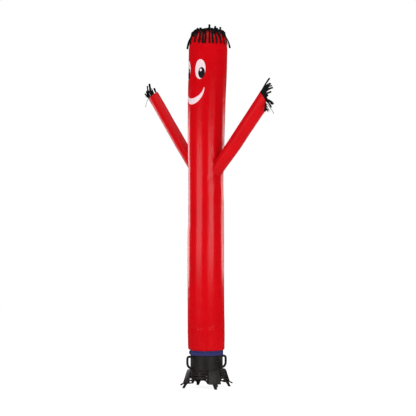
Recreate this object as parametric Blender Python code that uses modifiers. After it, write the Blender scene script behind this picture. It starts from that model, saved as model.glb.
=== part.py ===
"""Inflatable air dancer on its blower, in metres.

The dancer stands on the ground with +Z up. The origin is the middle of the blower's base on the
ground, the face side looks along -Y and the arms reach along +X and -X. A heading is the angle of
a direction in the ground plane, in degrees from +X towards +Y.
"""

import math
import random
from collections import namedtuple

import bmesh
import bpy
import numpy as np
from mathutils import Matrix, Vector

# ---------------------------------------------------------------- driving sizes

SIDES = 36  # facets round the body tube, the strap and the blower
CLOTH = 0.0015  # thickness of the coated nylon
CLEAR = 0.0003  # gap that is kept between neighbouring pieces
OVERLAP = 0.02  # how far a cutter reaches past what it cuts

LEAN_HEADING = 50.0  # the head leans a little this way
DIP_HEADING = 50.0  # the top hem dips on this side and on the opposite one
RIM_DIP = 0.008  # how far the top hem dips there, and rises between
DIP_FROM = 3.20  # the tube is level below this height
GATHERS = 12  # pleats where the cloth is drawn in

# The body tube's outer surface, from the strapped hem up to the open top.
Section = namedtuple("Section", "height radius lean gather")
BODY = (
    Section(0.306, 0.1533, 0.0, 0.0),
    Section(0.350, 0.1533, 0.0, 0.0),
    Section(0.352, 0.1600, 0.0, 0.0008),
    Section(0.356, 0.1668, -0.001, 0.0020),
    Section(0.364, 0.1700, -0.002, 0.0020),
    Section(0.380, 0.1714, -0.003, 0.0015),
    Section(0.410, 0.1720, -0.003, 0.0008),
    Section(0.544, 0.1736, -0.004, 0.0),
    Section(0.556, 0.1715, -0.004, 0.0),
    Section(0.568, 0.1734, -0.004, 0.0),
    Section(0.700, 0.1722, -0.005, 0.0),
    Section(1.250, 0.1714, -0.007, 0.0),
    Section(1.430, 0.1710, -0.007, 0.0),
    Section(1.530, 0.1681, -0.0055, 0.0),
    Section(1.710, 0.1668, -0.006, 0.0),
    Section(1.820, 0.1650, -0.0075, 0.0),
    Section(1.960, 0.1647, -0.008, 0.0),
    Section(2.060, 0.1668, -0.0065, 0.0),
    Section(2.200, 0.1704, -0.0055, 0.0),
    Section(2.320, 0.1717, -0.005, 0.0),
    Section(2.440, 0.1740, -0.003, 0.0),
    Section(2.660, 0.1771, 0.0, 0.0),
    Section(2.940, 0.1811, 0.0085, 0.0),
    Section(3.160, 0.1818, 0.014, 0.0),
    Section(3.205, 0.1775, 0.0155, 0.0008),
    Section(3.242, 0.1720, 0.0165, 0.0015),
    Section(3.270, 0.1655, 0.017, 0.0015),
    Section(3.292, 0.1575, 0.0175, 0.0008),
    Section(3.306, 0.1510, 0.0175, 0.0),
    Section(3.322, 0.1495, 0.0175, 0.0),
)

# The arms. Each starts on the tube's surface at the height `root`, and points outwards, a little
# forward and up. Its section is an oval of one cut width, `wide` by `narrow`, turned by `roll`
# from the level across the arm towards its upper side. The mouth falls back by `lip` on one side.
ARM_SIDES = 24
ARM_INSIDE = 0.11  # how far the untrimmed arm runs on into the body
ARM_SEAT = 0.168  # distance from the tube's axis to the arm's start
ARMPIT_LENGTH = 0.28  # the lower side is drawn in over this length from the root
ARMPIT = 0.28  # by this share of the half width
LIP_SHARPNESS = 2.5  # a high value keeps the fall of the mouth on its one side
Arm = namedtuple("Arm", "name side root forward length elevation wide narrow roll lip lip_turn strips")
ARMS = (
    Arm("plus_x", 1, 2.052, -8.0, 0.854, 47.9, 0.138, 0.132, 0.0, 0.152, -40.5, 0.147),
    Arm("minus_x", -1, 2.066, 2.5, 0.944, 50.7, 0.150, 0.114, -38.0, 0.045, -205.0, 0.120),
)
ARM_STATIONS = (-0.11, 0.0, 0.09, 0.18, 0.28)  # metres along the arm
ARM_SHARES = (0.35, 0.7, 1.0)  # the rest, as shares of the way to the mouth

# The fringes: strips on a narrow band that lies just inside the hem.
STRIP = 0.0014  # thickness of a strip and of its band
STRIP_ROOT = 0.006  # a hand's strips run straight this far past the mouth
STRIP_END = 0.92  # a strip's width at its end, as a share of its root's
BAND_DEPTH = 0.012  # how far a band reaches down behind the hem
HAIR_COUNT = 48
HAIR_SHARE = 0.64  # share of the band's pitch that a strip takes
HAIR_SPREAD = 1.28  # and how much wider it is where it folds over the hem
HAIR_CREST = 0.019  # the hair's band stands this far above the hem
HAIR_CREST_WAVE = 0.004
HAIR_CREST_WAVES = 7
HAIR_CLEAR = 0.005  # the hanging hair's distance from the tube
HAIR_HANG = 0.112
HAIR_SHORT = 0.42  # every other strip hangs only this share of that
HAIR_RISE = 0.009  # how far a strip stands up before it folds over
HAIR_SLANT = 0.011  # how far a strip's end may hang to its side
HAND_COUNT = 16
HAND_SINK = 0.001  # the hand's band ends this far inside the mouth
HAND_SHARE = 0.66
HAND_SPREAD = 1.0
HAND_SHORTER = 0.35  # by what share the lowest strips are shorter than the highest
HAND_DROOP = (0.025, 0.48)  # how much each quarter of a strip bends down, at the top and the bottom
HAND_OPEN = (0.015, 0.06)  # least and further outward bend of each quarter
HAIR_SEED = 12
HAND_SEED = 12

# The strap and its buckle.
STRAP_LOW = 0.3053
STRAP_HIGH = 0.348
STRAP_THICK = 0.0021
BUCKLE_HEADING = -125.0
BUCKLE = (0.008, 0.034, 0.030)  # radial, across, high
BUCKLE_ROUND = 0.003

# The blower: a drum, a skirt under it that is open at its four arches, and four hollow legs.
HOUSING_RADIUS = 0.1515
HOUSING_WALL = 0.003
HOUSING_TOP = 0.340
HOUSING_FOOT = 0.1503
# The two ridges round the drum's foot: how high above it, and how far out from the drum.
RidgePoint = namedtuple("RidgePoint", "rise reach")
RIDGES = (
    RidgePoint(0.0247, 0.0),
    RidgePoint(0.0217, 0.0085),
    RidgePoint(0.0157, 0.0085),
    RidgePoint(0.0132, 0.0040),
    RidgePoint(0.0097, 0.0040),
    RidgePoint(0.0077, 0.0105),
    RidgePoint(0.0, 0.0105),
)
SKIRT_TOP = 0.150
SKIRT_FOOT = 0.045
SKIRT_RADIUS = 0.162
LEG_COUNT = 4
LEG_HEADING = -18.6  # of the first leg; the others follow each quarter turn
LEG_HALF_ANGLE = 16.0
LEG_INNER = 0.1625
LEG_TOP_OUTER = 0.186
LEG_FOOT_OUTER = 0.222
LEG_TOP = 0.170
LEG_SHOULDER = 0.158
LEG_FOOT = 0.045
LEG_WALL = 0.004
LEG_CHAMFER = 0.006  # at the top of the outer plate
LEG_SLOT_FRAME = (0.006, 0.009)  # what stays of a web beside its slots, inside and outside
SLOT_ROWS = (0.137, 0.112, 0.087)
LEG_SLOT_ROWS = SLOT_ROWS + (0.062,)
SLOT_HEIGHT = 0.010
SLOT_INNER = 3.0  # degrees from the middle of the skirt's panel to its slots
SLOT_OUTER = 24.0
ARCH_SLOT_INNER = 13.0  # the lowest row leaves room for the arch
ARCH_HALF_WIDTH = 0.070
ARCH_RISE = 0.045
ARCH_CENTRE = 0.040
ARCH_STEPS = 24
LEG_OPENING = (0.070, 0.118)  # width and top of the skirt's opening behind each leg
SOLE_REACH = 0.232
SOLE_RADIUS = 0.0125
ANKLE_REACH = 0.206
ANKLE_RADIUS = 0.0145
ANKLE_WIDENING = 1.6  # how much wider the foot's top is across than outwards
TAB_SIZE = (0.042, 0.028, 0.008)  # long, wide, thick
TAB_HOLE = 0.016
TAB_HOLE_OFFSET = 0.008  # the hole lies this far outside the tab's middle
TAB_TILT = 28.0
TAB_SEAT = 0.050  # the height at which a tab meets its leg's outer plate
TAB_GAP = 0.0004  # measured level
HANDLE_LEGS = (1, 3)
HANDLE_BAR = 0.0112
HANDLE_REACH = 0.1925
HANDLE_TOP = 0.290
HANDLE_FOOT = 0.1868
# A handle's bends: how far in from its outermost reach, and how far below its top or above its foot.
HandleBend = namedtuple("HandleBend", "inwards rise")
HANDLE_UPPER_BENDS = (HandleBend(0.016, 0.0), HandleBend(0.004, -0.005), HandleBend(0.0, -0.017))
HANDLE_LOWER_BENDS = (
    HandleBend(0.0, 0.034),
    HandleBend(0.005, 0.020),
    HandleBend(0.016, 0.006),
    HandleBend(0.024, 0.0),
)
GUARD_HEIGHT = 0.138
GUARD_THICK = 0.006
GUARD_HUB = 0.041  # radius of the plain middle
GuardRow = namedtuple("GuardRow", "count inner outer width")
GUARD_ROWS = (GuardRow(10, GUARD_HUB, 0.088, 0.016), GuardRow(18, 0.098, 0.1475, 0.018))
GLAND_HEADING = 116.0
GLAND_HEIGHT = 0.215
GLAND_LENGTH = 0.024
GLAND_RADII = (0.0125, 0.009)  # at the drum and at its end
ROUND_STEPS = 16  # facets of small round things

# Colours (linear), roughness and metallic value.
RED = (0.62, 0.004, 0.008, 1.0)
BLACK_CLOTH = (0.012, 0.012, 0.013, 1.0)
BLUE = (0.022, 0.05, 0.21, 1.0)
BLACK_PLASTIC = (0.02, 0.019, 0.018, 1.0)
RUBBER = (0.012, 0.012, 0.012, 1.0)


# ---------------------------------------------------------------- helpers


def heading(degrees):
    """The unit vector in the ground plane that points this way."""
    angle = math.radians(degrees)
    return Vector((math.cos(angle), math.sin(angle), 0.0))


def clear_scene():
    for item in list(bpy.data.objects):
        bpy.data.objects.remove(item, do_unlink=True)


def new_collection(name):
    group = bpy.data.collections.new(name)
    bpy.context.scene.collection.children.link(group)
    return group


def material(name, colour, roughness, metallic=0.0):
    """A Principled BSDF material of one colour."""
    made = bpy.data.materials.new(name)
    made.use_nodes = True
    shader = made.node_tree.nodes["Principled BSDF"]
    shader.inputs["Base Color"].default_value = colour
    shader.inputs["Roughness"].default_value = roughness
    shader.inputs["Metallic"].default_value = metallic
    return made


def mesh_object(name, work, group):
    """Turns a bmesh into an object of this collection."""
    mesh = bpy.data.meshes.new(name)
    work.to_mesh(mesh)
    work.free()
    made = bpy.data.objects.new(name, mesh)
    group.objects.link(made)
    return made


def finish(piece, colour, roughness, sharp=35.0):
    """Gives a part its own material and smooth shading on its round faces."""
    piece.data.materials.clear()
    piece.data.materials.append(material(piece.name, colour, roughness))
    piece.data.shade_smooth()
    piece.data.set_sharp_from_angle(angle=math.radians(sharp))
    return piece


def hide_cutter(piece):
    piece.hide_render = True
    piece.display_type = "WIRE"
    return piece


def cut(piece, cutter):
    """Cuts a closed solid out of a part."""
    step = piece.modifiers.new("cut " + cutter.name, "BOOLEAN")
    step.operation = "DIFFERENCE"
    step.solver = "EXACT"
    step.object = cutter


def bridge(work, rings):
    """Quads between each ring of vertices and the next."""
    for low, high in zip(rings, rings[1:]):
        for i, corner in enumerate(low):
            j = (i + 1) % len(low)
            work.faces.new((corner, low[j], high[j], high[i]))


def loft(rings, capped):
    """A surface through rings of points, with or without its two ends."""
    work = bmesh.new()
    rows = [[work.verts.new(point) for point in ring] for ring in rings]
    bridge(work, rows)
    if capped:
        work.faces.new(reversed(rows[0]))
        work.faces.new(rows[-1])
    bmesh.ops.recalc_face_normals(work, faces=work.faces)
    return work


def add_box(work, size, matrix):
    bmesh.ops.create_cube(work, size=1.0, matrix=matrix @ Matrix.Diagonal((*size, 1.0)))


def place(degrees, reach, height):
    """A frame at a heading: its X points outwards, its Y across and its Z up."""
    turn = Matrix.Rotation(math.radians(degrees), 4, "Z")
    return Matrix.Translation(heading(degrees) * reach + Vector((0, 0, height))) @ turn


def turned(name, profile, group, sides=SIDES):
    """A solid of revolution; the profile is closed and runs down its outer side."""
    work = bmesh.new()
    points = [work.verts.new((reach, 0.0, height)) for reach, height in profile]
    for i, point in enumerate(points):
        work.edges.new((point, points[(i + 1) % len(points)]))
    made = mesh_object(name, work, group)
    screw = made.modifiers.new("turn", "SCREW")
    screw.steps = sides
    screw.render_steps = sides
    screw.use_merge_vertices = True
    screw.merge_threshold = 0.00001
    return made


def swept(profile, half_angle, steps=6):
    """A closed solid: a profile in the X-Z plane, turned about Z by both half angles."""
    work = bmesh.new()
    start = Matrix.Rotation(math.radians(-half_angle), 3, "Z")
    corners = [work.verts.new(start @ Vector((reach, 0.0, height))) for reach, height in profile]
    face = work.faces.new(corners)
    bmesh.ops.spin(
        work,
        geom=[face, *face.edges, *face.verts],
        cent=(0, 0, 0),
        axis=(0, 0, 1),
        angle=math.radians(2 * half_angle),
        steps=steps,
    )
    bmesh.ops.recalc_face_normals(work, faces=work.faces)
    return work


# ---------------------------------------------------------------- the cloth tubes


def at_height(column, height):
    """One column of the body's table at any height."""
    heights = [row.height for row in BODY]
    return float(np.interp(height, heights, [getattr(row, column) for row in BODY]))


def rim_shift(degrees, height):
    """How far the dipping hem moves a point of the tube up or down."""
    share = np.clip((height - DIP_FROM) / (BODY[-1].height - DIP_FROM), 0.0, 1.0)
    return -RIM_DIP * float(share) * math.cos(math.radians(2 * (degrees - DIP_HEADING)))


def tube_point(degrees, height, outwards=0.0):
    """A point at a distance from the tube's outer surface."""
    pleat = at_height("gather", height) * math.cos(math.radians(GATHERS * degrees))
    reach = at_height("radius", height) + pleat + outwards
    centre = heading(LEAN_HEADING) * at_height("lean", height)
    lift = Vector((0, 0, height + rim_shift(degrees, height)))
    return centre + heading(degrees) * reach + lift


def tube_rings(outwards=0.0):
    turns = [360.0 * i / SIDES for i in range(SIDES)]
    return [[tube_point(turn, row.height, outwards) for turn in turns] for row in BODY]


def thicken(piece):
    """Gives an open surface its cloth thickness, inwards."""
    solid = piece.modifiers.new("cloth", "SOLIDIFY")
    solid.thickness = CLOTH
    solid.offset = -1.0
    solid.use_even_offset = True


def body_tube(group):
    tube = mesh_object("body_tube", loft(tube_rings(), capped=False), group)
    thicken(tube)
    return finish(tube, RED, 0.42)


class ArmFrame:
    """Where an arm lies: its start, its direction and the two directions across it."""

    def __init__(self, arm):
        flat = heading(-arm.forward if arm.side > 0 else 180.0 + arm.forward)
        rise = math.radians(arm.elevation)
        self.arm = arm
        self.along = flat * math.cos(rise) + Vector((0, 0, math.sin(rise)))
        self.level = Vector((0, 0, 1)).cross(flat) * arm.side
        self.upper = Vector((0, 0, math.cos(rise))) - flat * math.sin(rise)
        centre = heading(LEAN_HEADING) * at_height("lean", arm.root)
        self.start = centre + flat * ARM_SEAT + Vector((0, 0, arm.root))

    def reach(self, turn):
        """How far along the arm its mouth lies at this turn round it."""
        low = 0.5 - 0.5 * math.cos(math.radians(turn - self.arm.lip_turn - 180.0))
        return self.arm.length - self.arm.lip * low**LIP_SHARPNESS

    def point(self, turn, along, inwards=0.0):
        """A point of the arm's surface, at a turn from its level side towards its upper side."""
        roll = math.radians(self.arm.roll)
        angle = math.radians(turn) - roll
        wide = (0.5 * self.arm.wide - inwards) * math.cos(angle)
        narrow = (0.5 * self.arm.narrow - inwards) * math.sin(angle)
        level = wide * math.cos(roll) - narrow * math.sin(roll)
        upper = wide * math.sin(roll) + narrow * math.cos(roll)
        near_root = min(1.0, max(0.0, 1.0 - along / ARMPIT_LENGTH))
        if upper < 0.0:
            upper *= 1.0 - ARMPIT * near_root
        return self.start + self.along * along + self.level * level + self.upper * upper

    def rings(self, inwards=0.0, past=None):
        """Rings from inside the body to the mouth, or to `past` metres along the arm."""
        turns = [360.0 * i / ARM_SIDES for i in range(ARM_SIDES)]
        if past is not None:
            return [[self.point(t, s, inwards) for t in turns] for s in (-ARM_INSIDE, past)]
        rings = [[self.point(t, s, inwards) for t in turns] for s in ARM_STATIONS]
        first = ARM_STATIONS[-1]
        for share in ARM_SHARES:
            rings.append([self.point(t, first + (self.reach(t) - first) * share, inwards) for t in turns])
        return rings


def arm_tube(arm, body_outside, group):
    frame = ArmFrame(arm)
    tube = mesh_object("arm_" + arm.name, loft(frame.rings(), capped=False), group)
    thicken(tube)
    cut(tube, body_outside)
    return finish(tube, RED, 0.42)


def arm_hole(arm, cutters):
    """The hole in the body where an arm's air comes from."""
    frame = ArmFrame(arm)
    rings = frame.rings(inwards=CLOTH, past=ARM_INSIDE)
    return hide_cutter(mesh_object("hole_" + arm.name, loft(rings, capped=True), cutters))


# ---------------------------------------------------------------- the fringes


def add_strip(work, root, stations, spread):
    """Grows a strip of four sides from a quad of the band.

    Each station is a point, the strip's direction across and its thickness direction. A strip is
    `spread` times its root's width where it leaves the band, and narrows towards its end.
    """
    rows = [root]
    width = (root[1].co - root[0].co).dot(stations[0][1])
    shares = np.linspace(spread, STRIP_END, len(stations))
    for share, (point, across, through) in zip(shares, stations):
        half = across * width * 0.5 * float(share)
        deep = through * STRIP * 0.5
        corners = (point - half - deep, point + half - deep, point + half + deep, point - half + deep)
        rows.append([work.verts.new(corner) for corner in corners])
    bridge(work, rows)
    work.faces.new(rows[-1])


def fringe(name, count, share, spread, band_point, stations_of, group):
    """A closed band with strips on its upper edge.

    band_point gives a point of the band for a turn, at its upper or lower edge and at a distance
    from its outer side, and stations_of gives a strip's stations for its number.
    """
    work = bmesh.new()
    pitch = 360.0 / count
    turns = []
    for i in range(count):
        turns += [(i - 0.5 * share) * pitch, (i + 0.5 * share) * pitch]
    corners = (("upper", STRIP), ("upper", 0.0), ("lower", 0.0), ("lower", STRIP))
    loops = [[work.verts.new(band_point(t, edge, deep)) for edge, deep in corners] for t in turns]
    for i, loop in enumerate(loops):
        after = loops[(i + 1) % len(loops)]
        for k in range(4):
            nxt = (k + 1) % 4
            if k == 0 and i % 2 == 0:
                root = [loop[0], after[0], after[1], loop[1]]
                add_strip(work, root, stations_of(i // 2), spread)
            else:
                work.faces.new((loop[k], after[k], after[nxt], loop[nxt]))
    bmesh.ops.recalc_face_normals(work, faces=work.faces)
    return finish(mesh_object(name, work, group), BLACK_CLOTH, 0.75)


def path_stations(points, across, twist=0.0):
    """Stations at all points but the first, with the strip's thickness square to its way."""
    stations = []
    last = len(points) - 1
    for i in range(1, last + 1):
        way = (points[i] - points[i - 1]).normalized()
        if i < last:
            way += (points[i + 1] - points[i]).normalized()
        side = (across - way * across.dot(way) / way.length_squared).normalized()
        side = Matrix.Rotation(math.radians(twist * i / last), 3, way) @ side
        stations.append((points[i], side, side.cross(way).normalized()))
    return stations


# Strips that don't simply fold over the hem: the number of the strip, how high it stands, how
# far it leans outwards and to its side, how far it hangs down again and how far it turns.
Wild = namedtuple("Wild", "strip rise out aside hang twist")
WILD_HAIR = (
    Wild(43, 0.033, -0.004, 0.008, 0.0, 0.0),
    Wild(46, 0.019, -0.004, 0.004, 0.0, 20.0),
    Wild(47, 0.015, 0.008, 0.020, 0.062, 10.0),
    Wild(39, 0.016, 0.004, 0.004, 0.105, 0.0),
    Wild(36, 0.014, 0.004, -0.004, 0.100, 0.0),
    Wild(31, 0.004, 0.018, 0.004, 0.142, -70.0),
    Wild(6, 0.004, 0.018, 0.002, 0.142, 70.0),
    Wild(18, 0.026, -0.004, 0.008, 0.0, 0.0),
    Wild(22, 0.012, 0.012, -0.006, 0.125, 30.0),
    Wild(12, 0.014, 0.010, 0.008, 0.120, -30.0),
)
HAIR_FOLD = 0.009  # how far outwards the strips fold at the crest
HAIR_TIER = 0.0035  # every other strip hangs this much further out, so that strips can cross

# An upright strip's stations, as shares of its rise and of its lean, and a hanging strip's, as
# shares of its hang, its slant and its spread.
UPRIGHT_SHARES = ((0.3, 0.0), (0.55, 0.3), (0.8, 0.7), (1.0, 1.0))
HANG_SHARES = ((0.15, 0.1, 0.3), (0.5, 0.55, 0.6), (1.0, 1.0, 1.0))


def hair_fringe(group):
    """A band that stands above the top hem, and strips that fold over it and hang outside."""
    top = BODY[-1].height
    inner_facet = (BODY[-1].radius - CLOTH) * math.cos(math.pi / SIDES)
    sink = BODY[-1].radius - inner_facet + CLEAR
    chance = random.Random(HAIR_SEED)
    wild = {row.strip: row for row in WILD_HAIR}

    def lift_at(turn, edge):
        if edge == "lower":
            return Vector((0, 0, -BAND_DEPTH))
        wave = math.sin(math.radians(HAIR_CREST_WAVES * turn))
        return Vector((0, 0, HAIR_CREST + HAIR_CREST_WAVE * wave))

    def band_point(turn, edge, deep):
        return tube_point(turn, top, -(sink + deep)) + lift_at(turn, edge)

    def stations_of(number):
        turn = 360.0 * number / HAIR_COUNT
        out = heading(turn)
        across = heading(turn + 90.0)
        rise = Vector((0, 0, HAIR_RISE * chance.uniform(0.5, 1.5)))
        hang = HAIR_HANG * chance.uniform(0.86, 1.04) * (HAIR_SHORT if number % 2 else 1.0)
        slant = HAIR_SLANT * chance.uniform(-1.0, 1.0)
        tier = HAIR_TIER * (number % 2)
        spread = 0.0
        twist = 0.0
        base = band_point(turn, "upper", 0.5 * STRIP)
        row = wild.get(number)
        if row and row.hang == 0.0:
            lean = out * row.out + across * row.aside
            points = [base + Vector((0, 0, row.rise * up)) + lean * off for up, off in UPRIGHT_SHARES]
            return path_stations([base, *points], across, row.twist)
        if row:
            rise = Vector((0, 0, row.rise))
            spread = row.out
            hang = row.hang
            slant = row.aside
            twist = row.twist
        points = [base, base + rise * 0.7, base + rise + out * (HAIR_FOLD + tier)]
        for drop, sway, opened in HANG_SHARES:
            point = tube_point(turn, top - hang * drop, HAIR_CLEAR + tier + opened * spread)
            points.append(point + across * slant * sway)
        return path_stations(points, across, twist)

    sizes = (HAIR_COUNT, HAIR_SHARE, HAIR_SPREAD)
    return fringe("hair_fringe", *sizes, band_point, stations_of, group)


def hand_fringe(arm, group):
    """Strips that stream out of an arm's mouth; those on its lower side droop."""
    frame = ArmFrame(arm)
    sink = CLOTH + CLEAR + 0.5 * arm.wide * (1.0 - math.cos(math.pi / ARM_SIDES))
    chance = random.Random(HAND_SEED + arm.side)
    down = Vector((0, 0, -1))

    def band_point(turn, edge, deep):
        depth = BAND_DEPTH if edge == "lower" else 0.0
        turn *= arm.side
        return frame.point(turn, frame.reach(turn) - depth - HAND_SINK, sink + deep)

    def stations_of(number):
        turn = arm.side * 360.0 * number / HAND_COUNT
        mouth = frame.reach(turn)
        half = arm.side * 0.5 * HAND_SHARE * 360.0 / HAND_COUNT
        base = frame.point(turn, mouth, sink + 0.5 * STRIP)
        across = (frame.point(turn + half, mouth) - frame.point(turn - half, mouth)).normalized()
        out = across.cross(frame.along)
        clear = max(frame.reach(turn - half), frame.reach(turn + half)) - mouth
        low = 0.5 - 0.5 * math.sin(math.radians(turn))
        length = arm.strips * (1.0 - HAND_SHORTER * low) * chance.uniform(0.75, 1.1)
        droop = HAND_DROOP[0] + HAND_DROOP[1] * low**2 * chance.uniform(0.9, 1.05)
        open_out = HAND_OPEN[0] + HAND_OPEN[1] * chance.random()
        points = [base, base + frame.along * (clear + STRIP_ROOT)]
        way = frame.along.copy()
        for _ in range(4):
            way = (way + down * droop + out * open_out).normalized()
            points.append(points[-1] + way * length * 0.25)
        return path_stations(points, across)

    sizes = (HAND_COUNT, HAND_SHARE, HAND_SPREAD)
    return fringe("hand_fringe_" + arm.name, *sizes, band_point, stations_of, group)


# ---------------------------------------------------------------- the strap


def hem_strap(group):
    inner = BODY[0].radius + CLEAR
    outer = inner + STRAP_THICK
    profile = ((outer, STRAP_HIGH), (outer, STRAP_LOW), (inner, STRAP_LOW), (inner, STRAP_HIGH))
    return finish(turned("hem_strap", profile, group), BLUE, 0.6)


def strap_buckle(group):
    """A flat buckle that lies on the strap."""
    outer = BODY[0].radius + CLEAR + STRAP_THICK
    reach = outer + CLEAR + 0.5 * BUCKLE[0]
    work = bmesh.new()
    add_box(work, BUCKLE, place(BUCKLE_HEADING, reach, 0.5 * (STRAP_LOW + STRAP_HIGH)))
    buckle = mesh_object("strap_buckle", work, group)
    bevel = buckle.modifiers.new("rounded", "BEVEL")
    bevel.width = BUCKLE_ROUND
    bevel.segments = 2
    return finish(buckle, BLACK_PLASTIC, 0.4)


# ---------------------------------------------------------------- the blower


def blower_housing(group):
    """The duct: a plain open drum with two ridges round its foot."""
    outer = HOUSING_RADIUS
    inner = outer - HOUSING_WALL
    ridges = [(outer + point.reach, HOUSING_FOOT + point.rise) for point in RIDGES]
    profile = ((outer, HOUSING_TOP), *ridges, (inner, HOUSING_FOOT), (inner, HOUSING_TOP))
    return finish(turned("blower_housing", profile, group), BLACK_PLASTIC, 0.45)


def slot_cutters(cutters):
    """The skirt's air slots, the arches under its four panels and the openings behind its legs."""
    work = bmesh.new()
    quarter = 360.0 / LEG_COUNT
    wide, high = LEG_OPENING
    for panel in range(LEG_COUNT):
        size = (2.0 * OVERLAP, wide, high - SKIRT_FOOT + OVERLAP)
        centre = 0.5 * (high + SKIRT_FOOT - OVERLAP)
        add_box(work, size, place(LEG_HEADING + quarter * panel, SKIRT_RADIUS, centre))
        middle = LEG_HEADING + quarter * (panel + 0.5)
        for row, height in enumerate(SLOT_ROWS):
            first = ARCH_SLOT_INNER if row == len(SLOT_ROWS) - 1 else SLOT_INNER
            for side in (-1, 1):
                turn = middle + side * 0.5 * (first + SLOT_OUTER)
                across = SKIRT_RADIUS * math.radians(SLOT_OUTER - first)
                add_box(work, (2.0 * OVERLAP, across, SLOT_HEIGHT), place(turn, SKIRT_RADIUS, height))
        matrix = place(middle, SKIRT_RADIUS, ARCH_CENTRE) @ Matrix.Rotation(math.pi / 2, 4, "Y")
        matrix = matrix @ Matrix.Diagonal((ARCH_RISE, ARCH_HALF_WIDTH, 1.0, 1.0))
        bmesh.ops.create_cone(
            work,
            cap_ends=True,
            segments=ARCH_STEPS,
            radius1=1.0,
            radius2=1.0,
            depth=2.5 * OVERLAP,
            matrix=matrix,
        )
    return hide_cutter(mesh_object("skirt_openings", work, cutters))


def base_skirt(group, cutters):
    outer = SKIRT_RADIUS
    inner = outer - HOUSING_WALL
    profile = ((outer, SKIRT_TOP), (outer, SKIRT_FOOT), (inner, SKIRT_FOOT), (inner, SKIRT_TOP))
    skirt = turned("base_skirt", profile, group)
    cut(skirt, slot_cutters(cutters))
    return finish(skirt, BLACK_PLASTIC, 0.45)


def leg_outer_at(height):
    """The leg's outer radius at a height."""
    return float(np.interp(height, (LEG_FOOT, LEG_SHOULDER), (LEG_FOOT_OUTER, LEG_TOP_OUTER)))


def leg_mesh():
    """One leg pointing along +X: a curved outer plate, two webs, a top and a foot plate."""
    profile = (
        (LEG_INNER, LEG_TOP),
        (LEG_INNER, LEG_FOOT),
        (LEG_FOOT_OUTER, LEG_FOOT),
        (LEG_TOP_OUTER, LEG_SHOULDER),
        (LEG_TOP_OUTER - LEG_CHAMFER, LEG_TOP),
    )
    return swept(profile, LEG_HALF_ANGLE)


def leg_cutters():
    """The leg's hollow, open towards the blower, and the slots through its webs."""
    low = LEG_FOOT + LEG_WALL
    high = LEG_SHOULDER
    profile = (
        (LEG_INNER - OVERLAP, high),
        (LEG_INNER - OVERLAP, low),
        (leg_outer_at(low) - LEG_WALL, low),
        (leg_outer_at(high) - LEG_WALL, high),
    )
    angle = LEG_HALF_ANGLE - math.degrees(LEG_WALL / LEG_INNER)
    hollow = swept(profile, angle, steps=4)
    slots = bmesh.new()
    inner = LEG_INNER + LEG_SLOT_FRAME[0]
    across = 2.0 * (LEG_FOOT_OUTER * math.sin(math.radians(LEG_HALF_ANGLE)) + OVERLAP)
    for height in LEG_SLOT_ROWS:
        outer = leg_outer_at(height + 0.5 * SLOT_HEIGHT) - LEG_SLOT_FRAME[1]
        centre = Matrix.Translation((0.5 * (inner + outer), 0.0, height))
        add_box(slots, (outer - inner, across, SLOT_HEIGHT), centre)
    return hollow, slots


def legs(group, cutters):
    hollow, slots = leg_cutters()
    tools = [
        hide_cutter(mesh_object("leg_hollow", hollow, cutters)),
        hide_cutter(mesh_object("leg_slots", slots, cutters)),
    ]
    for number in range(LEG_COUNT):
        turn = Matrix.Rotation(math.radians(LEG_HEADING + 360.0 * number / LEG_COUNT), 4, "Z")
        leg = mesh_object(f"leg_{number + 1}", leg_mesh(), group)
        leg.matrix_world = turn
        for tool in tools:
            copy = tool if number == 0 else tool.copy()
            if number:
                cutters.objects.link(copy)
            copy.matrix_world = turn
            cut(leg, copy)
        finish(leg, BLACK_PLASTIC, 0.45)


def feet(group):
    """Tapered rubber feet that splay outwards from the legs' foot plates."""
    high = LEG_FOOT - CLEAR
    for number in range(LEG_COUNT):
        work = bmesh.new()
        bmesh.ops.create_cone(
            work,
            cap_ends=True,
            segments=ROUND_STEPS,
            radius1=SOLE_RADIUS,
            radius2=ANKLE_RADIUS,
            depth=high,
        )
        for corner in work.verts:
            if corner.co.z > 0.0:
                corner.co.y *= ANKLE_WIDENING
            corner.co.x += SOLE_REACH if corner.co.z < 0.0 else ANKLE_REACH
            corner.co.z += 0.5 * high
        foot = mesh_object(f"foot_{number + 1}", work, group)
        foot.rotation_euler.z = math.radians(LEG_HEADING + 360.0 * number / LEG_COUNT)
        finish(foot, RUBBER, 0.8)


def tie_tabs(group, cutters):
    """A flat eyelet for a ground anchor, on each leg's lower edge."""
    long, wide, thick = TAB_SIZE
    angle = math.radians(TAB_TILT)
    seat = leg_outer_at(TAB_SEAT - 0.5 * thick * math.cos(angle)) + TAB_GAP
    reach = seat + 0.5 * thick * math.sin(angle) + 0.5 * long * math.cos(angle)
    height = TAB_SEAT - 0.5 * long * math.sin(angle)
    for number in range(LEG_COUNT):
        turn = LEG_HEADING + 360.0 * number / LEG_COUNT
        matrix = place(turn, reach, height) @ Matrix.Rotation(angle, 4, "Y")
        work = bmesh.new()
        add_box(work, (long, wide, thick), matrix)
        tab = mesh_object(f"tie_tab_{number + 1}", work, group)
        hole = bmesh.new()
        spot = matrix @ Matrix.Translation((TAB_HOLE_OFFSET, 0.0, 0.0))
        bmesh.ops.create_cone(
            hole,
            cap_ends=True,
            segments=ROUND_STEPS,
            radius1=0.5 * TAB_HOLE,
            radius2=0.5 * TAB_HOLE,
            depth=OVERLAP,
            matrix=spot,
        )
        cut(tab, hide_cutter(mesh_object(f"tab_hole_{number + 1}", hole, cutters)))
        finish(tab, BLACK_PLASTIC, 0.45)


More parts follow.
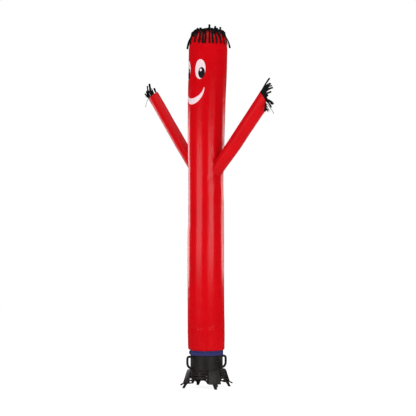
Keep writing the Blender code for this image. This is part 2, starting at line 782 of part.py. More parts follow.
def handles(group):
    """Two D-shaped carrying handles over opposite legs."""
    seat = HOUSING_RADIUS + CLEAR
    upper = [(HANDLE_REACH - bend.inwards, HANDLE_TOP + bend.rise) for bend in HANDLE_UPPER_BENDS]
    lower = [(HANDLE_REACH - bend.inwards, HANDLE_FOOT + bend.rise) for bend in HANDLE_LOWER_BENDS]
    route = ((seat, HANDLE_TOP), *upper, *lower, (seat, HANDLE_FOOT))
    for number, leg in enumerate(HANDLE_LEGS):
        name = f"handle_{number + 1}"
        curve = bpy.data.curves.new(name, "CURVE")
        curve.dimensions = "3D"
        curve.bevel_depth = HANDLE_BAR
        curve.bevel_resolution = 2
        curve.use_fill_caps = True
        line = curve.splines.new("POLY")
        line.points.add(len(route) - 1)
        for point, (out, height) in zip(line.points, route):
            point.co = (out, 0.0, height, 1.0)
        handle = bpy.data.objects.new(name, curve)
        group.objects.link(handle)
        handle.rotation_euler.z = math.radians(LEG_HEADING + 360.0 * leg / LEG_COUNT)
        curve.materials.append(material(name, BLACK_PLASTIC, 0.4))


def intake_guard(group, cutters):
    """A flat grille with two rows of radial slots round a plain hub."""
    outer = (SKIRT_RADIUS - HOUSING_WALL) * math.cos(math.pi / SIDES) - CLEAR
    work = bmesh.new()
    bmesh.ops.create_cone(
        work,
        cap_ends=True,
        segments=SIDES,
        radius1=outer,
        radius2=outer,
        depth=GUARD_THICK,
        matrix=Matrix.Translation((0, 0, GUARD_HEIGHT + 0.5 * GUARD_THICK)),
    )
    guard = mesh_object("intake_guard", work, group)
    slots = bmesh.new()
    for row in GUARD_ROWS:
        size = (row.outer - row.inner, row.width, GUARD_THICK + OVERLAP)
        for i in range(row.count):
            spot = place(360.0 * (i + 0.5) / row.count, 0.5 * (row.inner + row.outer), GUARD_HEIGHT)
            add_box(slots, size, spot)
    cut(guard, hide_cutter(mesh_object("guard_slots", slots, cutters)))
    return finish(guard, BLACK_PLASTIC, 0.5)


def cord_gland(group):
    """The stub that the mains lead would enter."""
    work = bmesh.new()
    matrix = place(GLAND_HEADING, HOUSING_RADIUS + CLEAR + 0.5 * GLAND_LENGTH, GLAND_HEIGHT)
    bmesh.ops.create_cone(
        work,
        cap_ends=True,
        segments=ROUND_STEPS,
        radius1=GLAND_RADII[0],
        radius2=GLAND_RADII[1],
        depth=GLAND_LENGTH,
        matrix=matrix @ Matrix.Rotation(math.pi / 2, 4, "Y"),
    )
    return finish(mesh_object("cord_gland", work, group), RUBBER, 0.7)


# ---------------------------------------------------------------- assembly


def main():
    clear_scene()
    parts = new_collection("inflatable_air_dancer")
    cutters = new_collection("cutters")
    outside = mesh_object("body_outside", loft(tube_rings(CLEAR), capped=True), cutters)
    hide_cutter(outside)
    tube = body_tube(parts)
    for arm in ARMS:
        cut(tube, arm_hole(arm, cutters))
        arm_tube(arm, outside, parts)
        hand_fringe(arm, parts)
    hair_fringe(parts)
    hem_strap(parts)
    strap_buckle(parts)
    blower_housing(parts)
    base_skirt(parts, cutters)
    legs(parts, cutters)
    feet(parts)
    tie_tabs(parts, cutters)
    handles(parts)
    intake_guard(parts, cutters)
    cord_gland(parts)


main()
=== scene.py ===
"""The shown surfaces of an inflatable air dancer on its blower, laid out as a Blender add-on.

Metres, +Z up. A heading is the angle of a direction in the ground plane, from +X towards +Y, in
degrees. The face looks along -Y and the arms reach along +X and -X.
"""

import math
import random
from collections import namedtuple

import bmesh
import bpy
import numpy as np
from bpy.props import FloatProperty, FloatVectorProperty, IntProperty, PointerProperty
from mathutils import Matrix, Vector


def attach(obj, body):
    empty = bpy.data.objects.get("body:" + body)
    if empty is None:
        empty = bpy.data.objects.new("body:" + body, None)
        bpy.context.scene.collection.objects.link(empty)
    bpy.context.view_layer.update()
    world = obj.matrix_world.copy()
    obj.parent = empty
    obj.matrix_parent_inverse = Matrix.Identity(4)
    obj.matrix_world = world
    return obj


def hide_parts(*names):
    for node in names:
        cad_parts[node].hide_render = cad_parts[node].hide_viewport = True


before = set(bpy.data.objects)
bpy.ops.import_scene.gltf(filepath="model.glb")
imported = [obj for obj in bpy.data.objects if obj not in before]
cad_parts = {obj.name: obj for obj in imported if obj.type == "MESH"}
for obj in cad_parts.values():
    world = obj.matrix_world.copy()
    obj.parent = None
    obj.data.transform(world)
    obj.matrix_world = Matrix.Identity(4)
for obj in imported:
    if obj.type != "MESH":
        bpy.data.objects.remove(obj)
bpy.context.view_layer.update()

bl_info = {
    "name": "Inflatable Air Dancer",
    "version": (1, 0, 0),
    "blender": (4, 5, 0),
    "location": "View3D > Sidebar > Air Dancer",
    "description": "Dresses an inflatable air dancer and its blower, piece by piece",
    "category": "Object",
}

# ---------------------------------------------------------------- sizes of the solids

CLOTH = 0.0015
OVERLAP = 0.02
GAP = 0.0003  # pieces that meet are kept this far apart
SEAM_HEADING = 90.0
PRINT_RADIUS = 0.175  # a metre across the cloth's UV map is a metre at this radius

LEAN_HEADING = 50.0
DIP_HEADING = 50.0
RIM_DIP = 0.008
DIP_FROM = 3.20
GATHERS = 12

Section = namedtuple("Section", "height radius lean gather")
BODY = (
    Section(0.306, 0.1533, 0.0, 0.0),
    Section(0.350, 0.1533, 0.0, 0.0),
    Section(0.352, 0.1600, 0.0, 0.0008),
    Section(0.356, 0.1668, -0.001, 0.0020),
    Section(0.364, 0.1700, -0.002, 0.0020),
    Section(0.380, 0.1714, -0.003, 0.0015),
    Section(0.410, 0.1720, -0.003, 0.0008),
    Section(0.544, 0.1736, -0.004, 0.0),
    Section(0.556, 0.1728, -0.004, 0.0),
    Section(0.568, 0.1734, -0.004, 0.0),
    Section(0.700, 0.1722, -0.005, 0.0),
    Section(1.250, 0.1714, -0.007, 0.0),
    Section(1.430, 0.1710, -0.007, 0.0),
    Section(1.530, 0.1681, -0.0055, 0.0),
    Section(1.710, 0.1668, -0.006, 0.0),
    Section(1.820, 0.1650, -0.0075, 0.0),
    Section(1.960, 0.1647, -0.008, 0.0),
    Section(2.060, 0.1668, -0.0065, 0.0),
    Section(2.200, 0.1704, -0.0055, 0.0),
    Section(2.320, 0.1717, -0.005, 0.0),
    Section(2.440, 0.1740, -0.003, 0.0),
    Section(2.660, 0.1771, 0.0, 0.0),
    Section(2.940, 0.1811, 0.0085, 0.0),
    Section(3.160, 0.1818, 0.014, 0.0),
    Section(3.205, 0.1775, 0.0155, 0.0008),
    Section(3.242, 0.1720, 0.0165, 0.0015),
    Section(3.270, 0.1655, 0.017, 0.0015),
    Section(3.292, 0.1575, 0.0175, 0.0008),
    Section(3.306, 0.1510, 0.0175, 0.0),
    Section(3.322, 0.1495, 0.0175, 0.0),
)

ARM_INSIDE = 0.11
ARM_SEAT = 0.168
ARMPIT_LENGTH = 0.28
ARMPIT = 0.28
LIP_SHARPNESS = 2.5
Arm = namedtuple(
    "Arm", "name side root forward length elevation wide narrow roll lip lip_turn flat"
)
ARMS = (
    Arm("plus_x", 1, 2.052, -8.0, 0.854, 47.9, 0.138, 0.132, 0.0, 0.152, -40.5, (0.43, 0.87)),
    Arm("minus_x", -1, 2.066, 2.5, 0.944, 50.7, 0.150, 0.114, -38.0, 0.045, -205.0, (0.42, 0.95)),
)

HAIR_CREST = 0.019
HAIR_CREST_WAVE = 0.004
HAIR_CREST_WAVES = 7

STRAP_LOW = 0.3053
STRAP_HIGH = 0.348
STRAP_INNER = 0.1536
STRAP_OUTER = 0.1557
BUCKLE_HEADING = -125.0
BUCKLE_SIZE = (0.008, 0.034, 0.030)
BUCKLE_FRAME = 0.005  # thickness of its frame
BUCKLE_SLOT = (0.006, 0.008)  # depth and width of each of its two openings
BUCKLE_SLOT_ASIDE = 0.0085
BUCKLE_LEVER = (0.0030, 0.016)  # thickness and width of its lever
BUCKLE_LEVER_TURN = 7.0

DRUM_RADIUS = 0.1515
WALL = 0.003
DRUM_TOP = 0.340
DRUM_FOOT = 0.1503
RIDGE_REACH = 0.0105
UPPER_RIDGE_REACH = 0.0085
RIDGE_VALLEY = 0.004
SKIRT_RADIUS = 0.162
SKIRT_TOP = 0.150
SKIRT_FOOT = 0.045
LEG_COUNT = 4
LEG_HEADING = -18.6
LEG_HALF_ANGLE = 16.0
LEG_INNER = 0.1625
LEG_TOP_OUTER = 0.186
LEG_FOOT_OUTER = 0.222
LEG_TOP = 0.170
LEG_SHOULDER = 0.158
LEG_FOOT = 0.045
LEG_WALL = 0.004
LEG_CHAMFER = 0.006
LEG_SLOT_FRAME = (0.006, 0.009)
SLOT_ROWS = (0.137, 0.112, 0.087)
LEG_SLOT_ROWS = SLOT_ROWS + (0.062,)
SLOT_HEIGHT = 0.010
SLOT_INNER = 3.0
SLOT_OUTER = 24.0
ARCH_SLOT_INNER = 13.0
ARCH_HALF_WIDTH = 0.070
ARCH_RISE = 0.045
ARCH_CENTRE = 0.040
LEG_OPENING = (0.070, 0.118)
SOLE_REACH = 0.232
SOLE_RADIUS = 0.0125
ANKLE_REACH = 0.206
ANKLE_RADIUS = 0.0145
ANKLE_WIDENING = 1.6
TAB_SIZE = (0.042, 0.028, 0.008)
TAB_CENTRE = (0.24235, 0.04014)  # its reach and its height
TAB_HOLE = 0.016
TAB_HOLE_OFFSET = 0.008
TAB_TILT = 28.0
HANDLE_LEGS = (1, 3)
HANDLE_BAR = 0.0112
HANDLE_REACH = 0.1925
HANDLE_TOP = 0.290
HANDLE_FOOT = 0.1868
GUARD_HEIGHT = 0.138
GUARD_THICK = 0.006
GUARD_RADIUS = 0.1581
GUARD_HUB = 0.041
GuardRow = namedtuple("GuardRow", "count inner outer width")
GUARD_ROWS = (GuardRow(10, GUARD_HUB, 0.088, 0.016), GuardRow(18, 0.098, 0.1475, 0.018))
GLAND_HEADING = 116.0
GLAND_HEIGHT = 0.215
GLAND_LENGTH = 0.024
GLAND_RADII = (0.0125, 0.009)

# ---------------------------------------------------------------- folds

# Soft troughs and ridges. `tilt` is the fold's lean from upright, `reach` half its length, `bow`
# how far its ends bend to one side, and a negative `depth` is a trough.
Fold = namedtuple("Fold", "turn height tilt reach width bow depth")
BODY_FOLDS = (
    # round the sewn root of the arm on +X
    Fold(-16, 2.14, -24, 0.12, 0.011, 0.015, -0.0020),
    Fold(-22, 1.98, 28, 0.16, 0.013, -0.02, -0.0018),
    Fold(-10, 1.86, 12, 0.15, 0.012, 0.0, 0.0018),
    Fold(4, 1.82, -4, 0.17, 0.014, 0.01, -0.0022),
    Fold(20, 1.85, -10, 0.14, 0.012, 0.0, 0.0020),
    Fold(34, 1.99, -26, 0.14, 0.012, 0.02, -0.0017),
    Fold(2, 2.28, 6, 0.13, 0.012, 0.0, -0.0016),
    Fold(24, 2.25, 20, 0.15, 0.013, 0.0, 0.0014),
    # round the root of the arm on -X
    Fold(-158, 2.13, 26, 0.12, 0.011, 0.0, -0.0020),
    Fold(-152, 1.97, -24, 0.16, 0.013, 0.02, -0.0019),
    Fold(-166, 1.85, -10, 0.16, 0.013, 0.0, 0.0018),
    Fold(-179, 1.82, 4, 0.17, 0.014, 0.0, -0.0022),
    Fold(164, 1.87, 14, 0.14, 0.012, 0.0, 0.0018),
    Fold(158, 2.02, 24, 0.13, 0.012, 0.0, -0.0016),
    Fold(-176, 2.29, -5, 0.13, 0.012, 0.0, -0.0016),
    # the slack above the strap
    Fold(-112, 0.396, 12, 0.040, 0.007, 0.004, -0.0022),
    Fold(-92, 0.385, -8, 0.030, 0.006, 0.0, 0.0016),
    Fold(-71, 0.402, 14, 0.046, 0.008, -0.006, -0.0024),
    Fold(-48, 0.390, 4, 0.034, 0.006, 0.0, -0.0018),
    Fold(-26, 0.400, -16, 0.044, 0.008, 0.004, -0.0026),
    Fold(-12, 0.412, 22, 0.050, 0.008, 0.0, 0.0020),
    Fold(12, 0.398, 10, 0.040, 0.007, 0.0, -0.0022),
    Fold(36, 0.392, -12, 0.038, 0.007, 0.0, -0.0020),
    Fold(70, 0.404, 8, 0.044, 0.008, 0.0, -0.0022),
    Fold(112, 0.396, -10, 0.040, 0.007, 0.0, -0.0024),
    Fold(148, 0.400, 14, 0.044, 0.008, 0.0, 0.0018),
    Fold(-176, 0.394, 6, 0.040, 0.007, 0.0, -0.0022),
    Fold(-146, 0.402, -18, 0.044, 0.008, 0.0, -0.0020),
    # where the tube gives a little, low down
    Fold(-82, 0.570, 88, 0.24, 0.009, 0.002, -0.0010),
    Fold(-2, 0.584, 83, 0.22, 0.009, -0.010, -0.0013),
    Fold(44, 0.540, 97, 0.09, 0.010, 0.0, -0.0009),
    Fold(120, 0.566, 93, 0.20, 0.008, 0.008, -0.0014),
    Fold(-165, 0.548, 88, 0.16, 0.008, 0.0, -0.0014),
    # long shallow folds of the inflated tube
    Fold(-64, 1.10, 1.5, 0.60, 0.018, 0.010, -0.0009),
    Fold(-31, 1.45, -1.0, 0.80, 0.022, 0.0, -0.0010),
    Fold(-86, 1.60, 2.0, 0.70, 0.020, -0.010, 0.0009),
    Fold(28, 1.20, -2.0, 0.60, 0.020, 0.008, -0.0012),
    Fold(140, 1.30, 2.0, 0.70, 0.022, 0.0, -0.0014),
    Fold(-150, 1.05, -2.0, 0.60, 0.020, 0.0, 0.0011),
    Fold(-20, 2.55, 3.0, 0.26, 0.018, 0.006, -0.0012),
    Fold(30, 2.72, -3.0, 0.30, 0.018, 0.0, -0.0012),
    Fold(150, 2.65, 3.0, 0.34, 0.020, 0.0, -0.0014),
    Fold(-142, 2.60, -4.0, 0.26, 0.018, 0.0, -0.0012),
)
# On an arm, `turn` goes round it from its level side and `height` is the share of its length.
ARM_FOLDS = (
    Fold(-58, 0.10, 6, 0.12, 0.010, 0.004, -0.0030),
    Fold(-96, 0.12, -8, 0.13, 0.010, 0.0, 0.0024),
    Fold(-24, 0.13, 10, 0.12, 0.011, 0.0, -0.0024),
    Fold(14, 0.09, -8, 0.09, 0.009, 0.0, 0.0018),
    Fold(66, 0.08, 6, 0.08, 0.009, 0.0, -0.0018),
    Fold(124, 0.10, -6, 0.10, 0.010, 0.0, -0.0022),
    Fold(178, 0.13, 9, 0.12, 0.010, 0.0, 0.0022),
    Fold(-142, 0.12, -9, 0.13, 0.011, 0.0, -0.0026),
    Fold(-66, 0.52, 3, 0.30, 0.012, 0.008, -0.0022),
    Fold(-12, 0.60, -4, 0.24, 0.012, 0.0, -0.0016),
    Fold(58, 0.48, 3, 0.26, 0.013, 0.0, -0.0014),
    Fold(150, 0.55, -3, 0.28, 0.013, 0.0, -0.0018),
    Fold(-118, 0.80, 5, 0.13, 0.010, 0.0, 0.0020),
    Fold(-40, 0.86, -6, 0.11, 0.010, 0.0, -0.0024),
    Fold(40, 0.84, 7, 0.11, 0.010, 0.0, 0.0018),
    Fold(104, 0.88, -6, 0.10, 0.010, 0.0, -0.0022),
)

# Strips that don't simply fold over the hem: the strip, how high it stands, how far it leans out
# and to its side, how far it hangs down again and how far it turns.
Wild = namedtuple("Wild", "strip rise out aside hang twist")
WILD_HAIR = (
    Wild(37, 0.012, -0.002, -0.003, 0.0, 15.0),
    Wild(1, 0.026, -0.002, 0.002, 0.0, -35.0),
    Wild(43, 0.034, -0.004, -0.005, 0.0, 0.0),
    Wild(46, 0.031, -0.004, 0.005, 0.0, 10.0),
    Wild(47, 0.015, 0.008, 0.020, 0.062, 10.0),
    Wild(39, 0.016, 0.004, 0.004, 0.105, 0.0),
    Wild(36, 0.014, 0.004, -0.004, 0.100, 0.0),
    Wild(31, 0.004, 0.006, -0.006, 0.150, -115.0),
    Wild(6, 0.004, 0.018, 0.002, 0.142, 70.0),
    Wild(18, 0.026, -0.004, 0.008, 0.0, 0.0),
    Wild(22, 0.012, 0.012, -0.006, 0.125, 30.0),
    Wild(12, 0.014, 0.010, 0.008, 0.120, -30.0),
)
HAIR_HANG = 0.116  # how far a strip hangs down
HAIR_SHORT = 0.42  # every other strip hangs only this share as far
HAIR_BAND_IN = 0.0028  # how far inside the tube's surface the band's inner side lies
# Long strips that aren't evenly spread: the strip, its heading, its slant and its width's share.
Lock = namedtuple("Lock", "strip turn slant wide")
LOCKS = (
    Lock(34, -110.0, -0.003, 1.05),
    Lock(36, -83.0, -0.002, 1.10),
    Lock(38, -70.0, 0.002, 0.95),
    Lock(40, -57.6, 0.0, 1.15),
    Lock(41, -49.5, 0.001, 1.20),
    Lock(42, -36.4, 0.001, 1.10),
    Lock(44, -27.0, -0.001, 1.20),
    Lock(45, -19.0, 0.018, 1.05),
    Lock(0, -4.7, 0.018, 1.15),
    Lock(4, 34.6, 0.004, 1.10),
)

# Where the camera stands, its small step aside, and its upward tilt; the lens and sensor are in mm.
CAMERA_HEADING = -40.0
CAMERA_DISTANCE = 13.0
CAMERA_HEIGHT = 1.35
CAMERA_ASIDE = 0.013
CAMERA_TILT = 1.442
CAMERA_LENS = 119.94
CAMERA_SENSOR = 36.0
PICTURE = 416  # pixels along each side of the camera's picture

# A hand's strips: the turn of the root, where the end shows in the camera's picture, how much nearer
# to the camera it lies than the root, the share of the width, how squarely the end faces the camera,
# from 0 to 1, and the share of the way to the end that the strip is cut to.
HandStrip = namedtuple("HandStrip", "turn end_x end_y nearer wide facing cut", defaults=(1.0,))
HAND_STRIPS = {
    "plus_x": (
        HandStrip(0, 269.7, 112.4, -0.015, 0.5, 0.5),
        HandStrip(22, 272.6, 104.0, -0.02, 1.0, 0.9),
        HandStrip(45, 271.3, 90.9, -0.02, 1.0, 0.9),
        HandStrip(68, 272.9, 87.0, -0.02, 1.1, 0.9),
        HandStrip(90, 272.3, 85.4, -0.01, 0.9, 0.8),
        HandStrip(112, 270.9, 83.2, 0.0, 1.4, 1.0),
        HandStrip(135, 269.7, 77.9, 0.01, 1.1, 0.95),
        HandStrip(158, 270.1, 84.3, 0.02, 1.2, 0.9),
        HandStrip(180, 271.9, 88.4, 0.03, 1.1, 0.95),
        HandStrip(202, 270.6, 91.8, 0.03, 1.1, 0.95),
        HandStrip(225, 273.3, 104.6, 0.03, 1.3, 1.0),
        HandStrip(248, 273.7, 114.0, 0.015, 0.5, 0.5),
        HandStrip(270, 267.8, 112.2, 0.01, 0.6, 0.5),
        HandStrip(292, 268.6, 110.7, 0.0, 0.8, 0.6),
        HandStrip(315, 267.0, 107.9, -0.01, 0.9, 0.8),
        HandStrip(338, 271.0, 111.0, -0.015, 0.6, 0.5),
        HandStrip(240, 264.6, 111.4, 0.02, 1.3, 0.95),
        HandStrip(100, 267.5, 86.2, 0.0, 1.2, 0.9),
        HandStrip(192, 268.2, 89.3, 0.02, 1.2, 1.0),
        HandStrip(120, 266.2, 84.6, 0.01, 1.0, 1.0),
        HandStrip(213, 268.0, 95.2, 0.02, 1.2, 1.0),
        HandStrip(220, 266.9, 98.8, 0.02, 1.3, 1.0),
        HandStrip(232, 271.2, 107.6, 0.03, 1.1, 1.0),
        HandStrip(168, 268.3, 86.8, 0.02, 1.2, 1.0),
        HandStrip(145, 266.9, 85.6, 0.02, 1.2, 1.0),
        HandStrip(255, 265.6, 108.4, 0.02, 1.0, 1.0),
    ),
    "minus_x": (
        HandStrip(0, 152.3, 90.6, -0.02, 0.7, 0.8, 0.45),
        HandStrip(-22, 151.0, 88.4, -0.02, 0.6, 0.9),
        HandStrip(-45, 150.0, 86.0, -0.02, 0.7, 0.8),
        HandStrip(-68, 148.3, 89.5, -0.01, 0.8, 0.7),
        HandStrip(-90, 146.6, 90.4, 0.0, 0.8, 0.7),
        HandStrip(-112, 144.9, 96.6, 0.0, 0.4, 0.4),
        HandStrip(-135, 145.2, 94.4, 0.015, 1.0, 0.9, 1.1),
        HandStrip(-158, 146.2, 91.8, 0.02, 1.0, 1.0),
        HandStrip(-180, 147.2, 86.2, 0.02, 0.95, 0.8),
        HandStrip(-202, 149.7, 83.7, 0.02, 1.4, 1.0),
        HandStrip(-225, 152.2, 90.0, 0.015, 0.7, 0.8),
        HandStrip(-262, 154.3, 88.7, 0.01, 1.3, 1.0, 1.12),
        HandStrip(-315, 156.3, 91.7, -0.01, 0.6, 0.5, 0.6),
        HandStrip(-125, 145.3, 107.4, 0.01, 0.4, 0.4),
        HandStrip(-150, 145.9, 106.6, 0.02, 0.4, 0.4),
        HandStrip(-165, 147.6, 93.4, 0.025, 0.9, 1.0),
    ),
}
HAND_SINK = 0.0026  # how far under the cloth's outside a strip's root lies
HAND_ROOT_TURN = 7.5  # a root's way across is taken from this much turn to each side
HAND_ROOT_BACK = 0.010  # a strip starts this far inside the mouth
HAND_ROOT_AHEAD = 0.003  # and runs straight this far out of it
HAND_BEND_LEAST = 0.016  # how far ahead a strip goes, at least, before it bends to its end
HAND_BEND_ASIDE = 0.22  # the share of the way aside that it has gone by then
HAND_CURL = 0.004
HAND_POINTS = 16
HAND_TWIST_MOST = 120
HAND_TWIST_STEP = 5
HAND_TWIST_COST = 0.0012  # a degree of twist is worth this much less of facing the camera
HAND_TWIST_SEEN = 0.6  # a strip's facing is judged at this share of its bend and its twist


# ---------------------------------------------------------------- settings a user would change


def metres(name, description, default, low=0.0, high=20.0):
    return FloatProperty(
        name=name, description=description, default=default, min=low, max=high, unit="LENGTH", precision=4
    )


def factor(name, description, default):
    return FloatProperty(name=name, description=description, default=default, min=0, max=1, subtype="FACTOR")


def colour(name, description, default):
    return FloatVectorProperty(
        name=name, description=description, default=default, size=3, min=0, max=1, subtype="COLOR"
    )


class DancerClothSettings(bpy.types.PropertyGroup):
    red: colour("Nylon", "Dyed colour of the coated nylon", (0.572, 0.0005, 0.0042))
    print_white: colour("Print white", "Ink of the eyes and the smile", (0.80, 0.63, 0.66))
    print_black: colour("Print black", "Ink of the pupils", (0.012, 0.011, 0.013))
    gloss: factor("Roughness", "Roughness of the body's coated face", 0.19)
    arm_gloss: factor("Arm Roughness", "Roughness of the arms' slacker cloth", 0.36)
    thread: metres("Thread spacing", "Distance between two threads of the weave", 0.0009)
    ripstop: metres("Ripstop spacing", "Distance between two stronger threads", 0.0055)
    stitch: metres("Stitch pitch", "Distance from one stitch to the next", 0.006, 0.001)
    columns: IntProperty(
        name="Columns", description="Faces round the body tube", default=144, min=24, max=240
    )
    rows: IntProperty(name="Rows", description="Faces up the body tube", default=236, min=60, max=400)


class DancerFringeSettings(bpy.types.PropertyGroup):
    black: colour("Strip", "Colour of the cut strips", (0.0045, 0.0042, 0.0045))
    hair_count: IntProperty(
        name="Hair strips", description="Strips round the head", default=48, min=12, max=96
    )
    hair_width: metres("Hair width", "Width of a hair strip", 0.0165)
    hand_width: metres("Hand strip width", "Width of a hand's strip", 0.0165)
    thickness: metres("Thickness", "Thickness of a strip", 0.0013)
    seed: IntProperty(name="Seed", description="Changes how the strips fall", default=12, min=0)


class DancerBlowerSettings(bpy.types.PropertyGroup):
    plastic: colour("Plastic", "Colour of the moulded housing", (0.0140, 0.0102, 0.0098))
    rubber: colour("Rubber", "Colour of the feet", (0.008, 0.008, 0.008))
    strap_painted_light: colour("Strap, upper edge", "Webbing in the light", (0.022, 0.028, 0.125))
    strap_lower: colour("Strap, lower edge", "Webbing in the shade", (0.034, 0.032, 0.150))
    rounding: metres("Rounding", "Radius of the moulded edges", 0.0012)
    dust: factor("Dust", "How dusty the base is", 0.35)


class DancerStageSettings(bpy.types.PropertyGroup):
    camera_heading: FloatProperty(
        name="Camera heading",
        description="Where the camera stands",
        default=math.radians(CAMERA_HEADING),
        subtype="ANGLE",
    )
    camera_distance: metres("Camera distance", "From the dancer's axis", CAMERA_DISTANCE)
    camera_height: metres("Camera height", "Above the floor", CAMERA_HEIGHT)
    ambient: factor("Ambient", "Light that comes from all round", 0.46)
    lens: FloatProperty(
        name="Lens", description="Focal length on a 36 mm sensor", default=CAMERA_LENS, unit="CAMERA"
    )


SETTINGS = {
    "dancer_cloth": DancerClothSettings,
    "dancer_fringe": DancerFringeSettings,
    "dancer_blower": DancerBlowerSettings,
    "dancer_stage": DancerStageSettings,
}

# ---------------------------------------------------------------- small tools


def heading(degrees):
    angle = math.radians(degrees)
    return Vector((math.cos(angle), math.sin(angle), 0.0))


def collection():
    name = "air_dancer_dressing"
    made = bpy.data.collections.get(name)
    if made is None:
        made = bpy.data.collections.new(name)
        bpy.context.scene.collection.children.link(made)
    return made


def new_object(name, mesh):
    made = bpy.data.objects.new(name, mesh)
    collection().objects.link(made)
    return made


def object_from(name, work):
    mesh = bpy.data.meshes.new(name)
    work.to_mesh(mesh)
    work.free()
    return new_object(name, mesh)


def applied(piece, helpers=()):
    """The piece as a plain mesh, with its modifiers applied and its helpers removed."""
    depsgraph = bpy.context.evaluated_depsgraph_get()
    mesh = bpy.data.meshes.new_from_object(piece.evaluated_get(depsgraph))
    piece.modifiers.clear()
    piece.data = mesh
    for helper in helpers:
        bpy.data.objects.remove(helper, do_unlink=True)
    return piece


def settle(piece, matrix):
    """Moves the mesh and leaves the object at the origin."""
    piece.data.transform(matrix)
    return piece


def dress(piece, material=None, nodes=(), sharp=38.0):
    """Finishes a piece: its material, its shading, its body and the solids it stands for."""
    if material is not None:
        piece.data.materials.clear()
        piece.data.materials.append(material)
    piece.data.shade_smooth()
    if sharp:
        piece.data.set_sharp_from_angle(angle=math.radians(sharp))
    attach(piece, "root")
    if nodes:
        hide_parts(*nodes)
    return piece


def add_modifier(piece, kind, **values):
    step = piece.modifiers.new(kind.lower(), kind)
    for name, value in values.items():
        setattr(step, name, value)
    return step


def cut(piece, cutter):
    cutter.hide_render = True
    add_modifier(piece, "BOOLEAN", operation="DIFFERENCE", solver="EXACT", object=cutter)


def soften(piece, width, segments=2):
    add_modifier(
        piece,
        "BEVEL",
        width=width,
        segments=segments,
        limit_method="ANGLE",
        angle_limit=math.radians(40),
        harden_normals=False,
        use_clamp_overlap=True,
    )


def eased(xs, ys, at):
    """Values at `at` on a smooth curve through the points, which never overshoots them."""
    xs = np.asarray(xs, dtype=float)
    ys = np.asarray(ys, dtype=float)
    step = np.diff(xs)
    slope = np.diff(ys) / step
    product = slope[:-1] * slope[1:]
    total = slope[:-1] + slope[1:]
    inner = np.where(product > 0, 2 * product / np.where(product > 0, total, 1.0), 0.0)
    tangent = np.concatenate(([slope[0]], inner, [slope[-1]]))
    place = np.clip(np.searchsorted(xs, at, side="right") - 1, 0, len(step) - 1)
    t = np.clip((at - xs[place]) / step[place], 0.0, 1.0)
    h = step[place]
    return (
        (1 + 2 * t) * (1 - t) ** 2 * ys[place]
        + t * (1 - t) ** 2 * h * tangent[place]
        + t**2 * (3 - 2 * t) * ys[place + 1]
        + t**2 * (t - 1) * h * tangent[place + 1]
    )


def ring_mesh(name, points, across=None, up=None, closed=False):
    """A mesh through rings: points[ring, column], anticlockwise seen from the last ring.

    `across` and `up` are the UV map's metres for the columns (one more than there are) and for
    each point; `closed` joins the last ring to the first.
    """
    rings, columns = points.shape[:2]
    work = bmesh.new()
    verts = [work.verts.new(p) for p in points.reshape(-1, 3)]
    layer = work.loops.layers.uv.new("UVMap")
    for i in range(rings if closed else rings - 1):
        nxt = (i + 1) % rings
        here = i * columns
        there = nxt * columns
        for j in range(columns):
            k = (j + 1) % columns
            face = work.faces.new([verts[here + j], verts[here + k], verts[there + k], verts[there + j]])
            if across is not None:
                spots = ((across[j], up[i, j]), (across[j + 1], up[i, k]))
                spots += ((across[j + 1], up[nxt, k]), (across[j], up[nxt, j]))
                for loop, spot in zip(face.loops, spots):
                    loop[layer].uv = spot
    return object_from(name, work)


def turned(name, profile, sides=128):
    """A solid of revolution about Z through a closed profile that runs down its outer side."""
    turns = np.radians(np.arange(sides) * 360.0 / sides)
    reach = np.array([p[0] for p in profile])[::-1, None]
    height = np.array([p[1] for p in profile])[::-1, None]
    points = np.stack((reach * np.cos(turns), reach * np.sin(turns), height + 0 * turns), axis=-1)
    across = np.arange(sides + 1) * 2 * math.pi / sides * max(p[0] for p in profile)
    up = np.broadcast_to(height, points.shape[:2])
    return ring_mesh(name, points, across, up, closed=True)


def fill_ends(piece):
    """Closes the open rings at a piece's ends."""
    work = bmesh.new()
    work.from_mesh(piece.data)
    bmesh.ops.holes_fill(work, edges=work.edges)
    work.to_mesh(piece.data)
    work.free()


def swept(profile, half_angle, steps):
    """A closed solid: a profile in the X-Z plane, turned about Z by both half angles."""
    work = bmesh.new()
    start = Matrix.Rotation(math.radians(-half_angle), 3, "Z")
    corners = [work.verts.new(start @ Vector((reach, 0.0, height))) for reach, height in profile]
    face = work.faces.new(corners)
    bmesh.ops.spin(
        work,
        geom=[face, *face.edges, *face.verts],
        cent=(0, 0, 0),
        axis=(0, 0, 1),
        angle=math.radians(2 * half_angle),
        steps=steps,
    )
    bmesh.ops.recalc_face_normals(work, faces=work.faces)
    return work


def place(degrees, reach, height):
    """A frame at a heading: its X points outwards, its Y across and its Z up."""
    turn = Matrix.Rotation(math.radians(degrees), 4, "Z")
    return Matrix.Translation(heading(degrees) * reach + Vector((0, 0, height))) @ turn


def add_box(work, size, matrix):
    bmesh.ops.create_cube(work, size=1.0, matrix=matrix @ Matrix.Diagonal((*size, 1.0)))


def add_drum(work, radius, depth, matrix, segments=24):
    bmesh.ops.create_cone(
        work, cap_ends=True, segments=segments, radius1=radius, radius2=radius, depth=depth, matrix=matrix
    )


# ---------------------------------------------------------------- node trees


